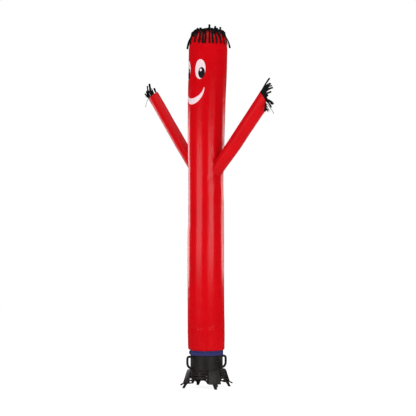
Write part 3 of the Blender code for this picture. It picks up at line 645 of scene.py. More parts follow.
class Graph:
    """A short way to add nodes to a tree and to join them."""

    def __init__(self, tree):
        self.tree = tree

    def add(self, kind, inputs=None, **settings):
        node = self.tree.nodes.new(kind)
        for name, value in settings.items():
            setattr(node, name, value)
        for name, value in (inputs or {}).items():
            if isinstance(value, bpy.types.NodeSocket):
                self.tree.links.new(value, node.inputs[name])
            else:
                node.inputs[name].default_value = value
        return node

    def math(self, operation, *values):
        return self.add("ShaderNodeMath", dict(enumerate(values)), operation=operation).outputs[0]

    def vector(self, operation, *values):
        node = self.add("ShaderNodeVectorMath", dict(enumerate(values)), operation=operation)
        return node.outputs["Value" if operation in ("LENGTH", "DOT_PRODUCT") else "Vector"]

    def split(self, vector):
        return self.add("ShaderNodeSeparateXYZ", {0: vector}).outputs

    def ramp(self, value, low, high, to_low=0.0, to_high=1.0):
        node = self.add("ShaderNodeMapRange", interpolation_type="SMOOTHSTEP")
        for socket, number in zip(node.inputs, (value, low, high, to_low, to_high)):
            if isinstance(number, bpy.types.NodeSocket):
                self.tree.links.new(number, socket)
            else:
                socket.default_value = number
        return node.outputs[0]

    def noise(self, vector, scale, detail=2.0, roughness=0.5):
        sizes = {"Vector": vector, "Scale": scale, "Detail": detail, "Roughness": roughness}
        return self.add("ShaderNodeTexNoise", sizes).outputs[0]

    def mix(self, share, first, second):
        return self.add("ShaderNodeMix", {0: share, 6: first, 7: second}, data_type="RGBA").outputs[2]

    def join(self, output, target):
        self.tree.links.new(output, target)


def shader_group(name, inputs, outputs, build):
    """A shader node group, built once; build(graph, inputs) gives its outputs by name."""
    tree = bpy.data.node_groups.get(name)
    if tree is not None:
        return tree
    tree = bpy.data.node_groups.new(name, "ShaderNodeTree")
    for label, kind, default in inputs:
        socket = tree.interface.new_socket(label, in_out="INPUT", socket_type="NodeSocket" + kind)
        if default is not None:
            socket.default_value = default
    for label, kind in outputs:
        tree.interface.new_socket(label, in_out="OUTPUT", socket_type="NodeSocket" + kind)
    graph = Graph(tree)
    entry = tree.nodes.new("NodeGroupInput")
    close = tree.nodes.new("NodeGroupOutput")
    for label, socket in build(graph, entry.outputs).items():
        graph.join(socket, close.inputs[label])
    return tree


def weave_group():
    """Plain weave with a grid of stronger threads, from coordinates in metres."""

    def build(graph, given):
        x, y, _ = graph.split(given["Vector"])
        waves = []
        ribs = []
        for axis in (x, y):
            waves.append(graph.math("SINE", graph.math("DIVIDE", axis, given["Thread"])))
            spot = graph.math("PINGPONG", graph.math("DIVIDE", axis, given["Ripstop"]), 0.5)
            ribs.append(graph.ramp(spot, 0.0, 0.12, 1.0, 0.0))
        cells = graph.math("MULTIPLY", waves[0], waves[1])
        grid = graph.math("MAXIMUM", ribs[0], ribs[1])
        height = graph.math("ADD", graph.math("MULTIPLY", cells, 0.35), grid)
        return {"Height": height, "Grid": grid}

    inputs = (("Vector", "Vector", None), ("Thread", "Float", 0.0002), ("Ripstop", "Float", 0.005))
    return shader_group("ripstop weave", inputs, (("Height", "Float"), ("Grid", "Float")), build)


def mottle_group():
    """Slow and fast unevenness, both round 0.5."""

    def build(graph, given):
        slow = graph.noise(given["Vector"], given["Scale"], 3.0)
        fast = graph.noise(given["Vector"], graph.math("MULTIPLY", given["Scale"], 9.0), 4.0, 0.6)
        return {"Slow": slow, "Fast": fast}

    inputs = (("Vector", "Vector", None), ("Scale", "Float", 3.0))
    return shader_group("mottle", inputs, (("Slow", "Float"), ("Fast", "Float")), build)


def oval_group():
    """A printed oval: 1 inside and 0 outside, with a soft inked edge."""

    def build(graph, given):
        away = graph.vector("SUBTRACT", given["Vector"], given["Centre"])
        length = graph.vector("LENGTH", graph.vector("DIVIDE", away, given["Half Size"]))
        return {"Mask": graph.ramp(length, 0.985, 1.015, 1.0, 0.0)}

    inputs = (("Vector", "Vector", None), ("Centre", "Vector", (0, 0, 0)), ("Half Size", "Vector", (1, 1, 1)))
    return shader_group("printed oval", inputs, (("Mask", "Float"),), build)


def wear_group():
    """Rubbed edges, broken up by noise."""

    def build(graph, given):
        sharp = graph.add("ShaderNodeNewGeometry").outputs["Pointiness"]
        edge = graph.ramp(sharp, 0.52, 0.60)
        broken = graph.ramp(graph.noise(given["Vector"], 90.0, 4.0, 0.7), 0.42, 0.62)
        mask = graph.math("MULTIPLY", graph.math("MULTIPLY", edge, broken), given["Amount"])
        return {"Mask": mask}

    inputs = (("Vector", "Vector", None), ("Amount", "Float", 0.5))
    return shader_group("edge wear", inputs, (("Mask", "Float"),), build)


def grain_group():
    """Fine moulded grain."""

    def build(graph, given):
        bumps = graph.add("ShaderNodeTexVoronoi", {"Vector": given["Vector"], "Scale": given["Scale"]})
        cells = graph.math("SUBTRACT", 1.0, bumps.outputs["Distance"])
        fine = graph.noise(given["Vector"], graph.math("MULTIPLY", given["Scale"], 0.35), 3.0)
        return {"Height": graph.math("ADD", cells, fine), "Tone": fine}

    inputs = (("Vector", "Vector", None), ("Scale", "Float", 900.0))
    return shader_group("moulded grain", inputs, (("Height", "Float"), ("Tone", "Float")), build)


def dust_group():
    """Dust that thins out upwards from the floor."""

    def build(graph, given):
        height = graph.split(given["Vector"])[2]
        low = graph.ramp(height, 0.0, given["Top"], 1.0, 0.0)
        patches = graph.ramp(graph.noise(given["Vector"], 26.0, 5.0, 0.65), 0.40, 0.72)
        mask = graph.math("MULTIPLY", graph.math("MULTIPLY", low, patches), given["Amount"])
        return {"Mask": mask}

    inputs = (("Vector", "Vector", None), ("Top", "Float", 0.2), ("Amount", "Float", 0.3))
    return shader_group("floor dust", inputs, (("Mask", "Float"),), build)


def new_material(name, **plain):
    """A material with a Principled BSDF whose plain sockets hold these values."""
    made = bpy.data.materials.new(name)
    made.use_nodes = True
    graph = Graph(made.node_tree)
    shader = made.node_tree.nodes["Principled BSDF"]
    for label, value in plain.items():
        shader.inputs[label.replace("_", " ")].default_value = value
    coordinates = graph.add("ShaderNodeTexCoord").outputs
    return made, graph, shader, coordinates


def place_group(graph, tree, inputs):
    node = graph.add("ShaderNodeGroup", node_tree=tree)
    for name, value in inputs.items():
        if isinstance(value, bpy.types.NodeSocket):
            graph.join(value, node.inputs[name])
        else:
            node.inputs[name].default_value = value
    return node.outputs


def bump(graph, shader, height, distance, strength=1.0, below=None):
    inputs = {"Height": height, "Distance": distance, "Strength": strength}
    if below is not None:
        inputs["Normal"] = below
    normal = graph.add("ShaderNodeBump", inputs).outputs["Normal"]
    graph.join(normal, shader.inputs["Normal"])
    return normal


Oval = namedtuple("Oval", "x y half_wide half_high")
EYE_WHITES = (Oval(-0.084, 2.964, 0.050, 0.092), Oval(0.084, 2.964, 0.050, 0.092))
PUPILS = (Oval(-0.070, 2.930, 0.031, 0.052), Oval(0.098, 2.930, 0.031, 0.052))
GLINTS = (Oval(-0.078, 2.955, 0.010, 0.012), Oval(0.090, 2.955, 0.010, 0.012))
SMILE_OUTER = Oval(0.0, 2.800, 0.130, 0.160)
SMILE_INNER = Oval(0.0, 2.822, 0.128, 0.127)
SMILE_TOP = 2.792


def finish(graph, shader, tone, rough):
    """Joins a colour and a roughness to a shader."""
    graph.join(tone, shader.inputs["Base Color"])
    graph.join(rough, shader.inputs["Roughness"])


def face_print(graph, where):
    """Masks of the printed white and black: two plain oval eyes and a smile."""

    def ovals(rows):
        masks = []
        for row in rows:
            spot = {"Vector": where, "Centre": (row.x, row.y, 0)}
            spot["Half Size"] = (row.half_wide, row.half_high, 1)
            masks.append(place_group(graph, oval_group(), spot)["Mask"])
        total = masks[0]
        for mask in masks[1:]:
            total = graph.math("MAXIMUM", total, mask)
        return total

    below = graph.ramp(graph.split(where)[1], SMILE_TOP - 0.002, SMILE_TOP + 0.002, 1.0, 0.0)
    smile = graph.math("MULTIPLY", ovals([SMILE_OUTER]), below)
    smile = graph.math("MULTIPLY", smile, graph.math("SUBTRACT", 1.0, ovals([SMILE_INNER])))
    white = graph.math("MAXIMUM", ovals(EYE_WHITES), smile)
    black = graph.math("MULTIPLY", ovals(PUPILS), graph.math("SUBTRACT", 1.0, ovals(GLINTS)))
    return white, black


def nylon(name, printed):
    """Coated ripstop nylon, with or without the printed face."""
    ask = bpy.context.scene.dancer_cloth
    red = Vector(ask.red)
    made, graph, shader, given = new_material(
        name, Specular_IOR_Level=0.17 if printed else 0.09, Sheen_Weight=0.03, Sheen_Roughness=0.3
    )
    where = given["UV"]
    mottle = place_group(graph, mottle_group(), {"Vector": given["Object"], "Scale": 2.6})
    weave = place_group(
        graph, weave_group(), {"Vector": where, "Thread": ask.thread / (2 * math.pi), "Ripstop": ask.ripstop}
    )
    deep = graph.mix(graph.ramp(mottle["Slow"], 0.3, 0.7), (*(red * 0.93), 1), (*(red * 1.05), 1))
    tone = graph.mix(graph.math("MULTIPLY", weave["Grid"], 0.10), deep, (*(red * 0.72), 1))
    if printed:
        white, black = face_print(graph, where)
        tone = graph.mix(white, tone, (*ask.print_white, 1))
        tone = graph.mix(black, tone, (*ask.print_black, 1))
    gloss = ask.gloss if printed else ask.arm_gloss
    rough = graph.ramp(mottle["Fast"], 0.3, 0.7, gloss - 0.03, gloss + 0.05)
    finish(graph, shader, tone, rough)
    cockle = bump(graph, shader, mottle["Fast"], 0.0005, 0.2)
    bump(graph, shader, weave["Height"], 0.00003, 0.35, cockle)
    return made


def thread_material():
    made, graph, shader, given = new_material("bonded red thread", Roughness=0.7, Specular_IOR_Level=0.05)
    twist = graph.noise(given["Object"], 700.0, 2.0)
    tone = graph.mix(twist, (0.30, 0.001, 0.004, 1), (0.46, 0.003, 0.008, 1))
    graph.join(tone, shader.inputs["Base Color"])
    bump(graph, shader, twist, 0.0002)
    return made


def strip_material():
    """Black cut nylon: a fine weave, slightly faded in patches."""
    ask = bpy.context.scene.dancer_fringe
    made, graph, shader, given = new_material("black cut nylon", Specular_IOR_Level=0.08)
    mottle = place_group(graph, mottle_group(), {"Vector": given["Object"], "Scale": 11.0})
    weave = place_group(
        graph, weave_group(), {"Vector": given["Object"], "Thread": 0.00016, "Ripstop": 0.004}
    )
    faded = (*(Vector(ask.black) * 2.2), 1)
    tone = graph.mix(graph.ramp(mottle["Slow"], 0.45, 0.75), (*ask.black, 1), faded)
    finish(graph, shader, tone, graph.ramp(mottle["Fast"], 0.3, 0.7, 0.5, 0.72))
    bump(graph, shader, weave["Height"], 0.00008, 0.7)
    return made


def webbing_material():
    """Blue webbing, with painted light on its upper part and painted shade on its lower edge, which is deeper
    and more violet.
    """
    ask = bpy.context.scene.dancer_blower
    made, graph, shader, given = new_material("blue webbing", Specular_IOR_Level=0.12)
    x, y, _ = graph.split(given["UV"])
    slant = graph.math("SINE", graph.math("MULTIPLY", graph.math("ADD", x, y), 2 * math.pi / 0.0024))
    rib = graph.math("SINE", graph.math("MULTIPLY", graph.math("SUBTRACT", x, y), 2 * math.pi / 0.0036))
    yarn = graph.math("MULTIPLY", slant, rib)
    # painted shade on the strap's lower edge and painted light above it, mixed by height
    band = graph.ramp(y, STRAP_LOW + 0.020, STRAP_LOW + 0.028)
    tone = graph.mix(band, (*ask.strap_lower, 1), (*ask.strap_painted_light, 1))
    dark = graph.mix(0.55, tone, (0.004, 0.006, 0.02, 1))
    worn = graph.noise(given["Object"], 60.0, 4.0, 0.7)
    tone = graph.mix(graph.ramp(yarn, -0.6, 0.6, 0.0, 0.35), tone, dark)
    tone = graph.mix(graph.ramp(worn, 0.55, 0.8, 0.0, 0.25), tone, (0.12, 0.16, 0.30, 1))
    finish(graph, shader, tone, graph.ramp(worn, 0.3, 0.7, 0.55, 0.75))
    bump(graph, shader, yarn, 0.0003, 0.7)
    return made


def plastic(name, base, roughness, grain_scale, wear=0.5):
    """Moulded plastic with grain, rubbed edges and floor dust."""
    ask = bpy.context.scene.dancer_blower
    base = Vector(base)
    made, graph, shader, given = new_material(name, Specular_IOR_Level=0.30)
    where = given["Object"]
    grain = place_group(graph, grain_group(), {"Vector": where, "Scale": grain_scale})
    mottle = place_group(graph, mottle_group(), {"Vector": where, "Scale": 7.0})
    rubbed = place_group(graph, wear_group(), {"Vector": where, "Amount": wear})["Mask"]
    dust = place_group(graph, dust_group(), {"Vector": where, "Top": 0.24, "Amount": ask.dust})["Mask"]
    tone = graph.mix(graph.ramp(mottle["Slow"], 0.3, 0.7), (*(base * 0.8), 1), (*(base * 1.35), 1))
    tone = graph.mix(rubbed, tone, (0.07, 0.063, 0.06, 1))
    tone = graph.mix(dust, tone, (0.075, 0.062, 0.056, 1))
    rough = graph.ramp(mottle["Fast"], 0.3, 0.7, roughness - 0.05, roughness + 0.1)
    finish(graph, shader, tone, graph.math("ADD", rough, graph.math("MULTIPLY", dust, 0.4)))
    bump(graph, shader, grain["Height"], 0.00012, 0.5)
    return made


def steel_material():
    made, graph, shader, given = new_material("zinc plated steel", Metallic=1.0)
    patina = graph.noise(given["Object"], 240.0, 4.0, 0.7)
    tone = graph.mix(patina, (0.16, 0.155, 0.15, 1), (0.42, 0.41, 0.40, 1))
    finish(graph, shader, tone, graph.ramp(patina, 0.3, 0.7, 0.28, 0.5))
    return made


def geometry_tree(name, sizes, build):
    """A Geometry Nodes tree with named inputs; build(graph, inputs) gives its last geometry."""
    tree = bpy.data.node_groups.get(name)
    if tree is not None:
        return tree
    tree = bpy.data.node_groups.new(name, "GeometryNodeTree")
    tree.interface.new_socket("Geometry", in_out="INPUT", socket_type="NodeSocketGeometry")
    for label, kind, default in sizes:
        socket = tree.interface.new_socket(label, in_out="INPUT", socket_type="NodeSocket" + kind)
        socket.default_value = default
    tree.interface.new_socket("Material", in_out="INPUT", socket_type="NodeSocketMaterial")
    tree.interface.new_socket("Geometry", in_out="OUTPUT", socket_type="NodeSocketGeometry")
    graph = Graph(tree)
    entry = tree.nodes.new("NodeGroupInput").outputs
    shape = build(graph, entry)
    real = graph.add("GeometryNodeRealizeInstances", {"Geometry": shape}).outputs[0]
    painted = graph.add("GeometryNodeSetMaterial", {"Geometry": real, "Material": entry["Material"]})
    graph.join(painted.outputs[0], tree.nodes.new("NodeGroupOutput").inputs[0])
    return tree


def grown(name, mesh, tree, **values):
    """The plain mesh that a Geometry Nodes tree makes from a mesh, as an object."""
    piece = new_object(name, mesh)
    step = piece.modifiers.new("grown", "NODES")
    step.node_group = tree
    for socket in tree.interface.items_tree:
        key = socket.name.lower().replace(" ", "_")
        if socket.item_type == "SOCKET" and socket.in_out == "INPUT" and key in values:
            step[socket.identifier] = values[key]
    finishes = applied(piece).data.materials
    while len(finishes) > 1 and finishes[0] is None:
        finishes.pop(index=0)
    return piece


def surface_way(graph):
    """The way out of the surface that is stored at each point."""
    stored = {"Name": "surface"}
    return graph.add("GeometryNodeInputNamedAttribute", stored, data_type="FLOAT_VECTOR").outputs[0]


def difference(graph, piece):
    """An exact cut; what it takes away is joined to its "Mesh 2"."""
    return graph.add("GeometryNodeMeshBoolean", {"Mesh 1": piece}, operation="DIFFERENCE", solver="EXACT")


def along_surface(graph):
    """A rotation whose X follows the curve and whose Z points away from the surface."""
    tangent = graph.add("GeometryNodeInputTangent").outputs[0]
    away = surface_way(graph)
    first = graph.add("FunctionNodeAlignRotationToVector", {"Vector": tangent}, axis="X").outputs[0]
    return graph.add(
        "FunctionNodeAlignRotationToVector", {"Rotation": first, "Vector": away}, axis="Z", pivot_axis="X"
    ).outputs[0]


def stitch_tree():
    """Rows of raised stitches along edges that lie on the cloth."""

    def build(graph, given):
        curve = graph.add("GeometryNodeMeshToCurve", {"Mesh": given["Geometry"]}).outputs[0]
        points = graph.add(
            "GeometryNodeResampleCurve", {"Curve": curve, "Length": given["Pitch"]}, mode="LENGTH"
        ).outputs[0]
        ball = graph.add("GeometryNodeMeshUVSphere", {"Segments": 6, "Rings": 4, "Radius": 0.5}).outputs[0]
        size = graph.add("ShaderNodeCombineXYZ", {0: given["Length"], 1: given["Width"], 2: given["Width"]})
        stitch = graph.add("GeometryNodeTransform", {"Geometry": ball, "Scale": size.outputs[0]}).outputs[0]
        turn = along_surface(graph)
        places = {"Points": points, "Instance": stitch, "Rotation": turn}
        return graph.add("GeometryNodeInstanceOnPoints", places).outputs[0]

    sizes = (("Pitch", "Float", 0.006), ("Length", "Float", 0.0042), ("Width", "Float", 0.0009))
    return geometry_tree("stitch rows", sizes, build)


def strip_tree():
    """Flat cut strips along edges; "surface" is a strip's thin direction and "share" its width."""

    def build(graph, given):
        share = graph.add("GeometryNodeInputNamedAttribute", {"Name": "share"}).outputs[0]
        away = surface_way(graph)
        curve = graph.add("GeometryNodeMeshToCurve", {"Mesh": given["Geometry"]}).outputs[0]
        free = {"Curve": curve, "Normal": away}
        curve = graph.add("GeometryNodeSetCurveNormal", free, mode="FREE")
        outline = {"Width": given["Thickness"], "Height": given["Width"]}
        outline = graph.add("GeometryNodeCurvePrimitiveQuadrilateral", outline).outputs[0]
        sweep = {"Curve": curve.outputs[0], "Profile Curve": outline, "Scale": share, "Fill Caps": True}
        return graph.add("GeometryNodeCurveToMesh", sweep).outputs[0]

    sizes = (("Width", "Float", 0.012), ("Thickness", "Float", 0.0014))
    return geometry_tree("cut strips", sizes, build)


def piping_tree():
    """A round cord or bar along edges."""

    def build(graph, given):
        curve = graph.add("GeometryNodeMeshToCurve", {"Mesh": given["Geometry"]}).outputs[0]
        ring = {"Resolution": given["Sides"], "Radius": given["Radius"]}
        ring = graph.add("GeometryNodeCurvePrimitiveCircle", ring, mode="RADIUS").outputs[0]
        sweep = {"Curve": curve, "Profile Curve": ring, "Fill Caps": True}
        return graph.add("GeometryNodeCurveToMesh", sweep).outputs[0]

    return geometry_tree("piping", (("Radius", "Float", 0.0022), ("Sides", "Int", 10)), build)


def screw_tree():
    """Round screw heads with a cross slot, at points that lie on a surface."""

    def build(graph, given):
        radius = given["Radius"]
        depth = graph.math("MULTIPLY", radius, 0.5)
        head = {"Vertices": 20, "Radius": radius, "Depth": depth}
        head = graph.add("GeometryNodeMeshCylinder", head).outputs[0]
        slots = []
        for wide, long in ((0.26, 1.15), (1.15, 0.26)):
            size = graph.add(
                "ShaderNodeCombineXYZ",
                {0: graph.math("MULTIPLY", radius, wide), 1: graph.math("MULTIPLY", radius, long), 2: depth},
            ).outputs[0]
            box = graph.add("GeometryNodeMeshCube", {"Size": size}).outputs[0]
            lift = graph.add("ShaderNodeCombineXYZ", {2: graph.math("MULTIPLY", depth, 0.55)}).outputs[0]
            raised = {"Geometry": box, "Translation": lift}
            slots.append(graph.add("GeometryNodeTransform", raised).outputs[0])
        cutting = difference(graph, head)
        for slot in slots:
            graph.join(slot, cutting.inputs["Mesh 2"])
        away = surface_way(graph)
        turn = graph.add("FunctionNodeAlignRotationToVector", {"Vector": away}, axis="Z").outputs[0]
        places = {"Points": given["Geometry"], "Instance": cutting.outputs[0], "Rotation": turn}
        return graph.add("GeometryNodeInstanceOnPoints", places).outputs[0]

    return geometry_tree("screw heads", (("Radius", "Float", 0.0045),), build)


def grille_tree():
    """A round plate with rows of radial slots cut out of it."""
    sizes = [("Radius", "Float", GUARD_RADIUS), ("Thickness", "Float", GUARD_THICK)]
    for number, row in enumerate(GUARD_ROWS, 1):
        sizes += [(f"Slots {number}", "Int", row.count), (f"Inner {number}", "Float", row.inner)]
        sizes += [(f"Outer {number}", "Float", row.outer), (f"Width {number}", "Float", row.width)]

    def build(graph, given):
        disc = {"Vertices": 120, "Radius": given["Radius"], "Depth": given["Thickness"]}
        disc = graph.add("GeometryNodeMeshCylinder", disc).outputs[0]
        cutting = difference(graph, disc)
        for number in range(1, len(GUARD_ROWS) + 1):
            count = given[f"Slots {number}"]
            inner = given[f"Inner {number}"]
            outer = given[f"Outer {number}"]
            long = graph.math("SUBTRACT", outer, inner)
            middle = graph.math("MULTIPLY", graph.math("ADD", outer, inner), 0.5)
            size = {0: long, 1: given[f"Width {number}"], 2: 0.05}
            size = graph.add("ShaderNodeCombineXYZ", size).outputs[0]
            box = graph.add("GeometryNodeMeshCube", {"Size": size}).outputs[0]
            ring = graph.add("GeometryNodeMeshCircle", {"Vertices": count, "Radius": middle}).outputs[0]
            spot = graph.add("GeometryNodeInputPosition").outputs[0]
            turn = graph.add("FunctionNodeAlignRotationToVector", {"Vector": spot}, axis="X").outputs[0]
            places = {"Points": ring, "Instance": box, "Rotation": turn}
            boxes = graph.add("GeometryNodeInstanceOnPoints", places).outputs[0]
            half = graph.math("DIVIDE", math.pi, count)
            swing = graph.add("ShaderNodeCombineXYZ", {2: half}).outputs[0]
            boxes = graph.add("GeometryNodeRealizeInstances", {"Geometry": boxes}).outputs[0]
            boxes = graph.add("GeometryNodeTransform", {"Geometry": boxes, "Rotation": swing}).outputs[0]
            graph.join(boxes, cutting.inputs["Mesh 2"])
        return cutting.outputs[0]

    return geometry_tree("radial grille", sizes, build)


def line_mesh(name, lines, closed=False, shares=None):
    """Edges along each line of (points, directions away from what carries them)."""
    points = []
    away = []
    edges = []
    for spots, outs in lines:
        first = len(points)
        points += [tuple(p) for p in spots]
        away += [tuple(v) for v in outs]
        edges += [(first + i, first + i + 1) for i in range(len(spots) - 1)]
        if closed:
            edges.append((len(points) - 1, first))
    mesh = bpy.data.meshes.new(name)
    mesh.from_pydata(points, edges, [])
    mesh.attributes.new("surface", "FLOAT_VECTOR", "POINT").data.foreach_set("vector", np.ravel(away))
    if shares is not None:
        mesh.attributes.new("share", "FLOAT", "POINT").data.foreach_set("value", np.ravel(shares))
    return mesh


# ---------------------------------------------------------------- the cloth's form


def folds(rows, turns, heights, radius):
    """What the folds add to a surface, at turns and heights of one shape."""
    total = np.zeros(np.broadcast(turns, heights).shape)
    for row in rows:
        aside = radius * np.radians((turns - row.turn + 180.0) % 360.0 - 180.0)
        up = heights - row.height
        tilt = math.radians(row.tilt)
        along = (up * math.cos(tilt) + aside * math.sin(tilt)) / row.reach
        across = aside * math.cos(tilt) - up * math.sin(tilt) - row.bow * along**2
        total += row.depth * np.clip(1 - along**2, 0, 1) ** 2 * np.exp(-((across / row.width) ** 2))
    return total


def column_at(column, heights):
    return eased([row.height for row in BODY], [getattr(row, column) for row in BODY], heights)


def tube_points(turns, heights, outwards=0.0):
    """Points at a distance from the body's plain surface."""
    turns, heights = np.broadcast_arrays(np.asarray(turns, float), np.asarray(heights, float))
    angle = np.radians(turns)
    reach = column_at("radius", heights) + column_at("gather", heights) * np.cos(GATHERS * angle) + outwards
    lean = column_at("lean", heights)
    towards = math.radians(LEAN_HEADING)
    share = np.clip((heights - DIP_FROM) / (BODY[-1].height - DIP_FROM), 0.0, 1.0)
    shift = -RIM_DIP * share * np.cos(2 * (angle - math.radians(DIP_HEADING)))
    x = lean * math.cos(towards) + reach * np.cos(angle)
    y = lean * math.sin(towards) + reach * np.sin(angle)
    return np.stack((x, y, heights + shift), axis=-1)


def body_relief(turns, heights):
    """The body's folds, billows, pleats, hem and back seam, in metres outwards."""
    turns, heights = np.broadcast_arrays(np.asarray(turns, float), np.asarray(heights, float))
    angle = np.radians(turns)
    relief = folds(BODY_FOLDS, turns, heights, PRINT_RADIUS)
    billow = np.sin(3 * angle + 1.7 * heights + 0.4) + 0.7 * np.sin(2 * angle - 2.9 * heights)
    billow += 0.6 * np.sin(5 * angle + 4.3 * heights + 2.0)
    inflated = np.clip((heights - 0.42) / 0.3, 0, 1) * np.clip((3.2 - heights) / 0.3, 0, 1)
    relief += 0.0007 * billow * inflated
    uneven = angle + 0.11 * np.sin(5 * angle + 1.0) + 0.07 * np.sin(9 * angle)
    pleats = np.cos(31 * uneven) * (0.6 + 0.4 * np.sin(4 * angle + 2.0))
    low = np.clip((heights - 0.352) / 0.010, 0, 1) * np.exp(-np.clip(heights - 0.362, 0, 9) / 0.030)
    high = np.exp(-(((heights - 3.262) / 0.030) ** 2))
    relief += 0.0017 * pleats * low + 0.0016 * np.cos(34 * uneven + 1.0) * high
    seam = np.radians((turns - SEAM_HEADING + 180.0) % 360.0 - 180.0) * PRINT_RADIUS
    free = np.clip((heights - 0.350) / 0.006, 0, 1)
    welt = 0.0012 * np.exp(-((seam / 0.0075) ** 4))
    gutters = 0.0010 * np.exp(-((np.abs(seam) - 0.013) / 0.005) ** 2)
    relief += free * (welt - gutters)
    return relief


def cloth_points(turns, heights, outwards=0.0):
    return tube_points(turns, heights, body_relief(turns, heights) + outwards)


class ArmForm:
    """Where an arm lies, and its surface."""

    def __init__(self, arm):
        flat = heading(-arm.forward if arm.side > 0 else 180.0 + arm.forward)
        rise = math.radians(arm.elevation)
        self.arm = arm
        self.along = np.array(flat * math.cos(rise) + Vector((0, 0, math.sin(rise))))
        self.level = np.array(Vector((0, 0, 1)).cross(flat) * arm.side)
        self.upper = np.array(Vector((0, 0, math.cos(rise))) - flat * math.sin(rise))
        centre = heading(LEAN_HEADING) * float(column_at("lean", np.array([arm.root]))[0])
        self.start = np.array(centre + flat * ARM_SEAT + Vector((0, 0, arm.root)))

    def reach(self, turns):
        low = 0.5 - 0.5 * np.cos(np.radians(turns - self.arm.lip_turn - 180.0))
        return self.arm.length - self.arm.lip * low**LIP_SHARPNESS

    def points(self, turns, along, outwards=0.0):
        arm = self.arm
        roll = math.radians(arm.roll)
        angle = np.radians(turns) - roll
        wide = (0.5 * arm.wide + outwards) * np.cos(angle)
        narrow = (0.5 * arm.narrow + outwards) * np.sin(angle)
        level = wide * math.cos(roll) - narrow * math.sin(roll)
        upper = wide * math.sin(roll) + narrow * math.cos(roll)
        near_root = np.clip(1.0 - along / ARMPIT_LENGTH, 0.0, 1.0)
        upper = np.where(upper < 0.0, upper * (1.0 - ARMPIT * near_root), upper)
        spot = self.start + along[..., None] * self.along
        spot = spot + level[..., None] * self.level
        return spot + upper[..., None] * self.upper

    def roots(self, turns):
        """How far along the arm it meets the body's cloth, at each turn."""
        low = np.full(len(turns), -ARM_INSIDE)
        high = np.full(len(turns), 0.25)
        for _ in range(26):
            middle = 0.5 * (low + high)
            spots = self.points(turns, middle)
            lean = column_at("lean", spots[:, 2])[:, None] * np.array(heading(LEAN_HEADING))[None, :2]
            away = spots[:, :2] - lean
            facing = np.degrees(np.arctan2(away[:, 1], away[:, 0]))
            cloth = column_at("radius", spots[:, 2]) + body_relief(facing, spots[:, 2])
            inside = np.linalg.norm(away, axis=1) < cloth
            low = np.where(inside, middle, low)
            high = np.where(inside, high, middle)
        return 0.5 * (low + high)

    def relief(self, turns, share, length):
        """Folds, root puckers, a slack mouth and its hem, in metres outwards."""
        angle = np.radians(turns)
        bump = folds(ARM_FOLDS, turns * self.arm.side + 40.0 * (self.arm.side < 0), share, 0.066)
        uneven = angle + 0.15 * np.sin(3 * angle + 1.0)
        bump += 0.0014 * np.cos(17 * uneven) * np.exp(-share * length / 0.035)
        to_mouth = (1 - share) * length
        bump += 0.0022 * np.sin(5 * uneven + 0.8) * np.exp(-to_mouth / 0.09)
        hem = 0.0006 * np.clip((0.020 - to_mouth) / 0.003, 0, 1)
        hem -= 0.0005 * np.exp(-(((to_mouth - 0.024) / 0.004) ** 2))
        bump += hem
        bump += 0.0008 * np.exp(-((np.sin(0.5 * (angle + 0.5 * math.pi)) / 0.10) ** 4))
        return bump


def seam_lines(points, lift):
    """A line on a surface as (points, outward directions), from a surface and one raised a little."""
    away = lift - points
    return points, away / np.linalg.norm(away, axis=-1, keepdims=True)


# ---------------------------------------------------------------- operators: cloth


class DancerPiece:
    """What the operators share."""

    bl_options = {"REGISTER", "UNDO"}

    def execute(self, context):
        self.make(context.scene)
        return {"FINISHED"}


STITCH_LIFT = 0.0002  # stitches lie this far above the cloth
STITCH_ABOVE = 0.0102  # and a point this far above it gives their way out
HEAD_HEM_HEIGHT = 3.193  # where the head's hem is stitched


def cloth_seam(turns, heights):
    """A line just above the body's cloth, with its way out."""
    line = cloth_points(turns, heights, STITCH_LIFT)
    return seam_lines(line, cloth_points(turns, heights, STITCH_ABOVE))


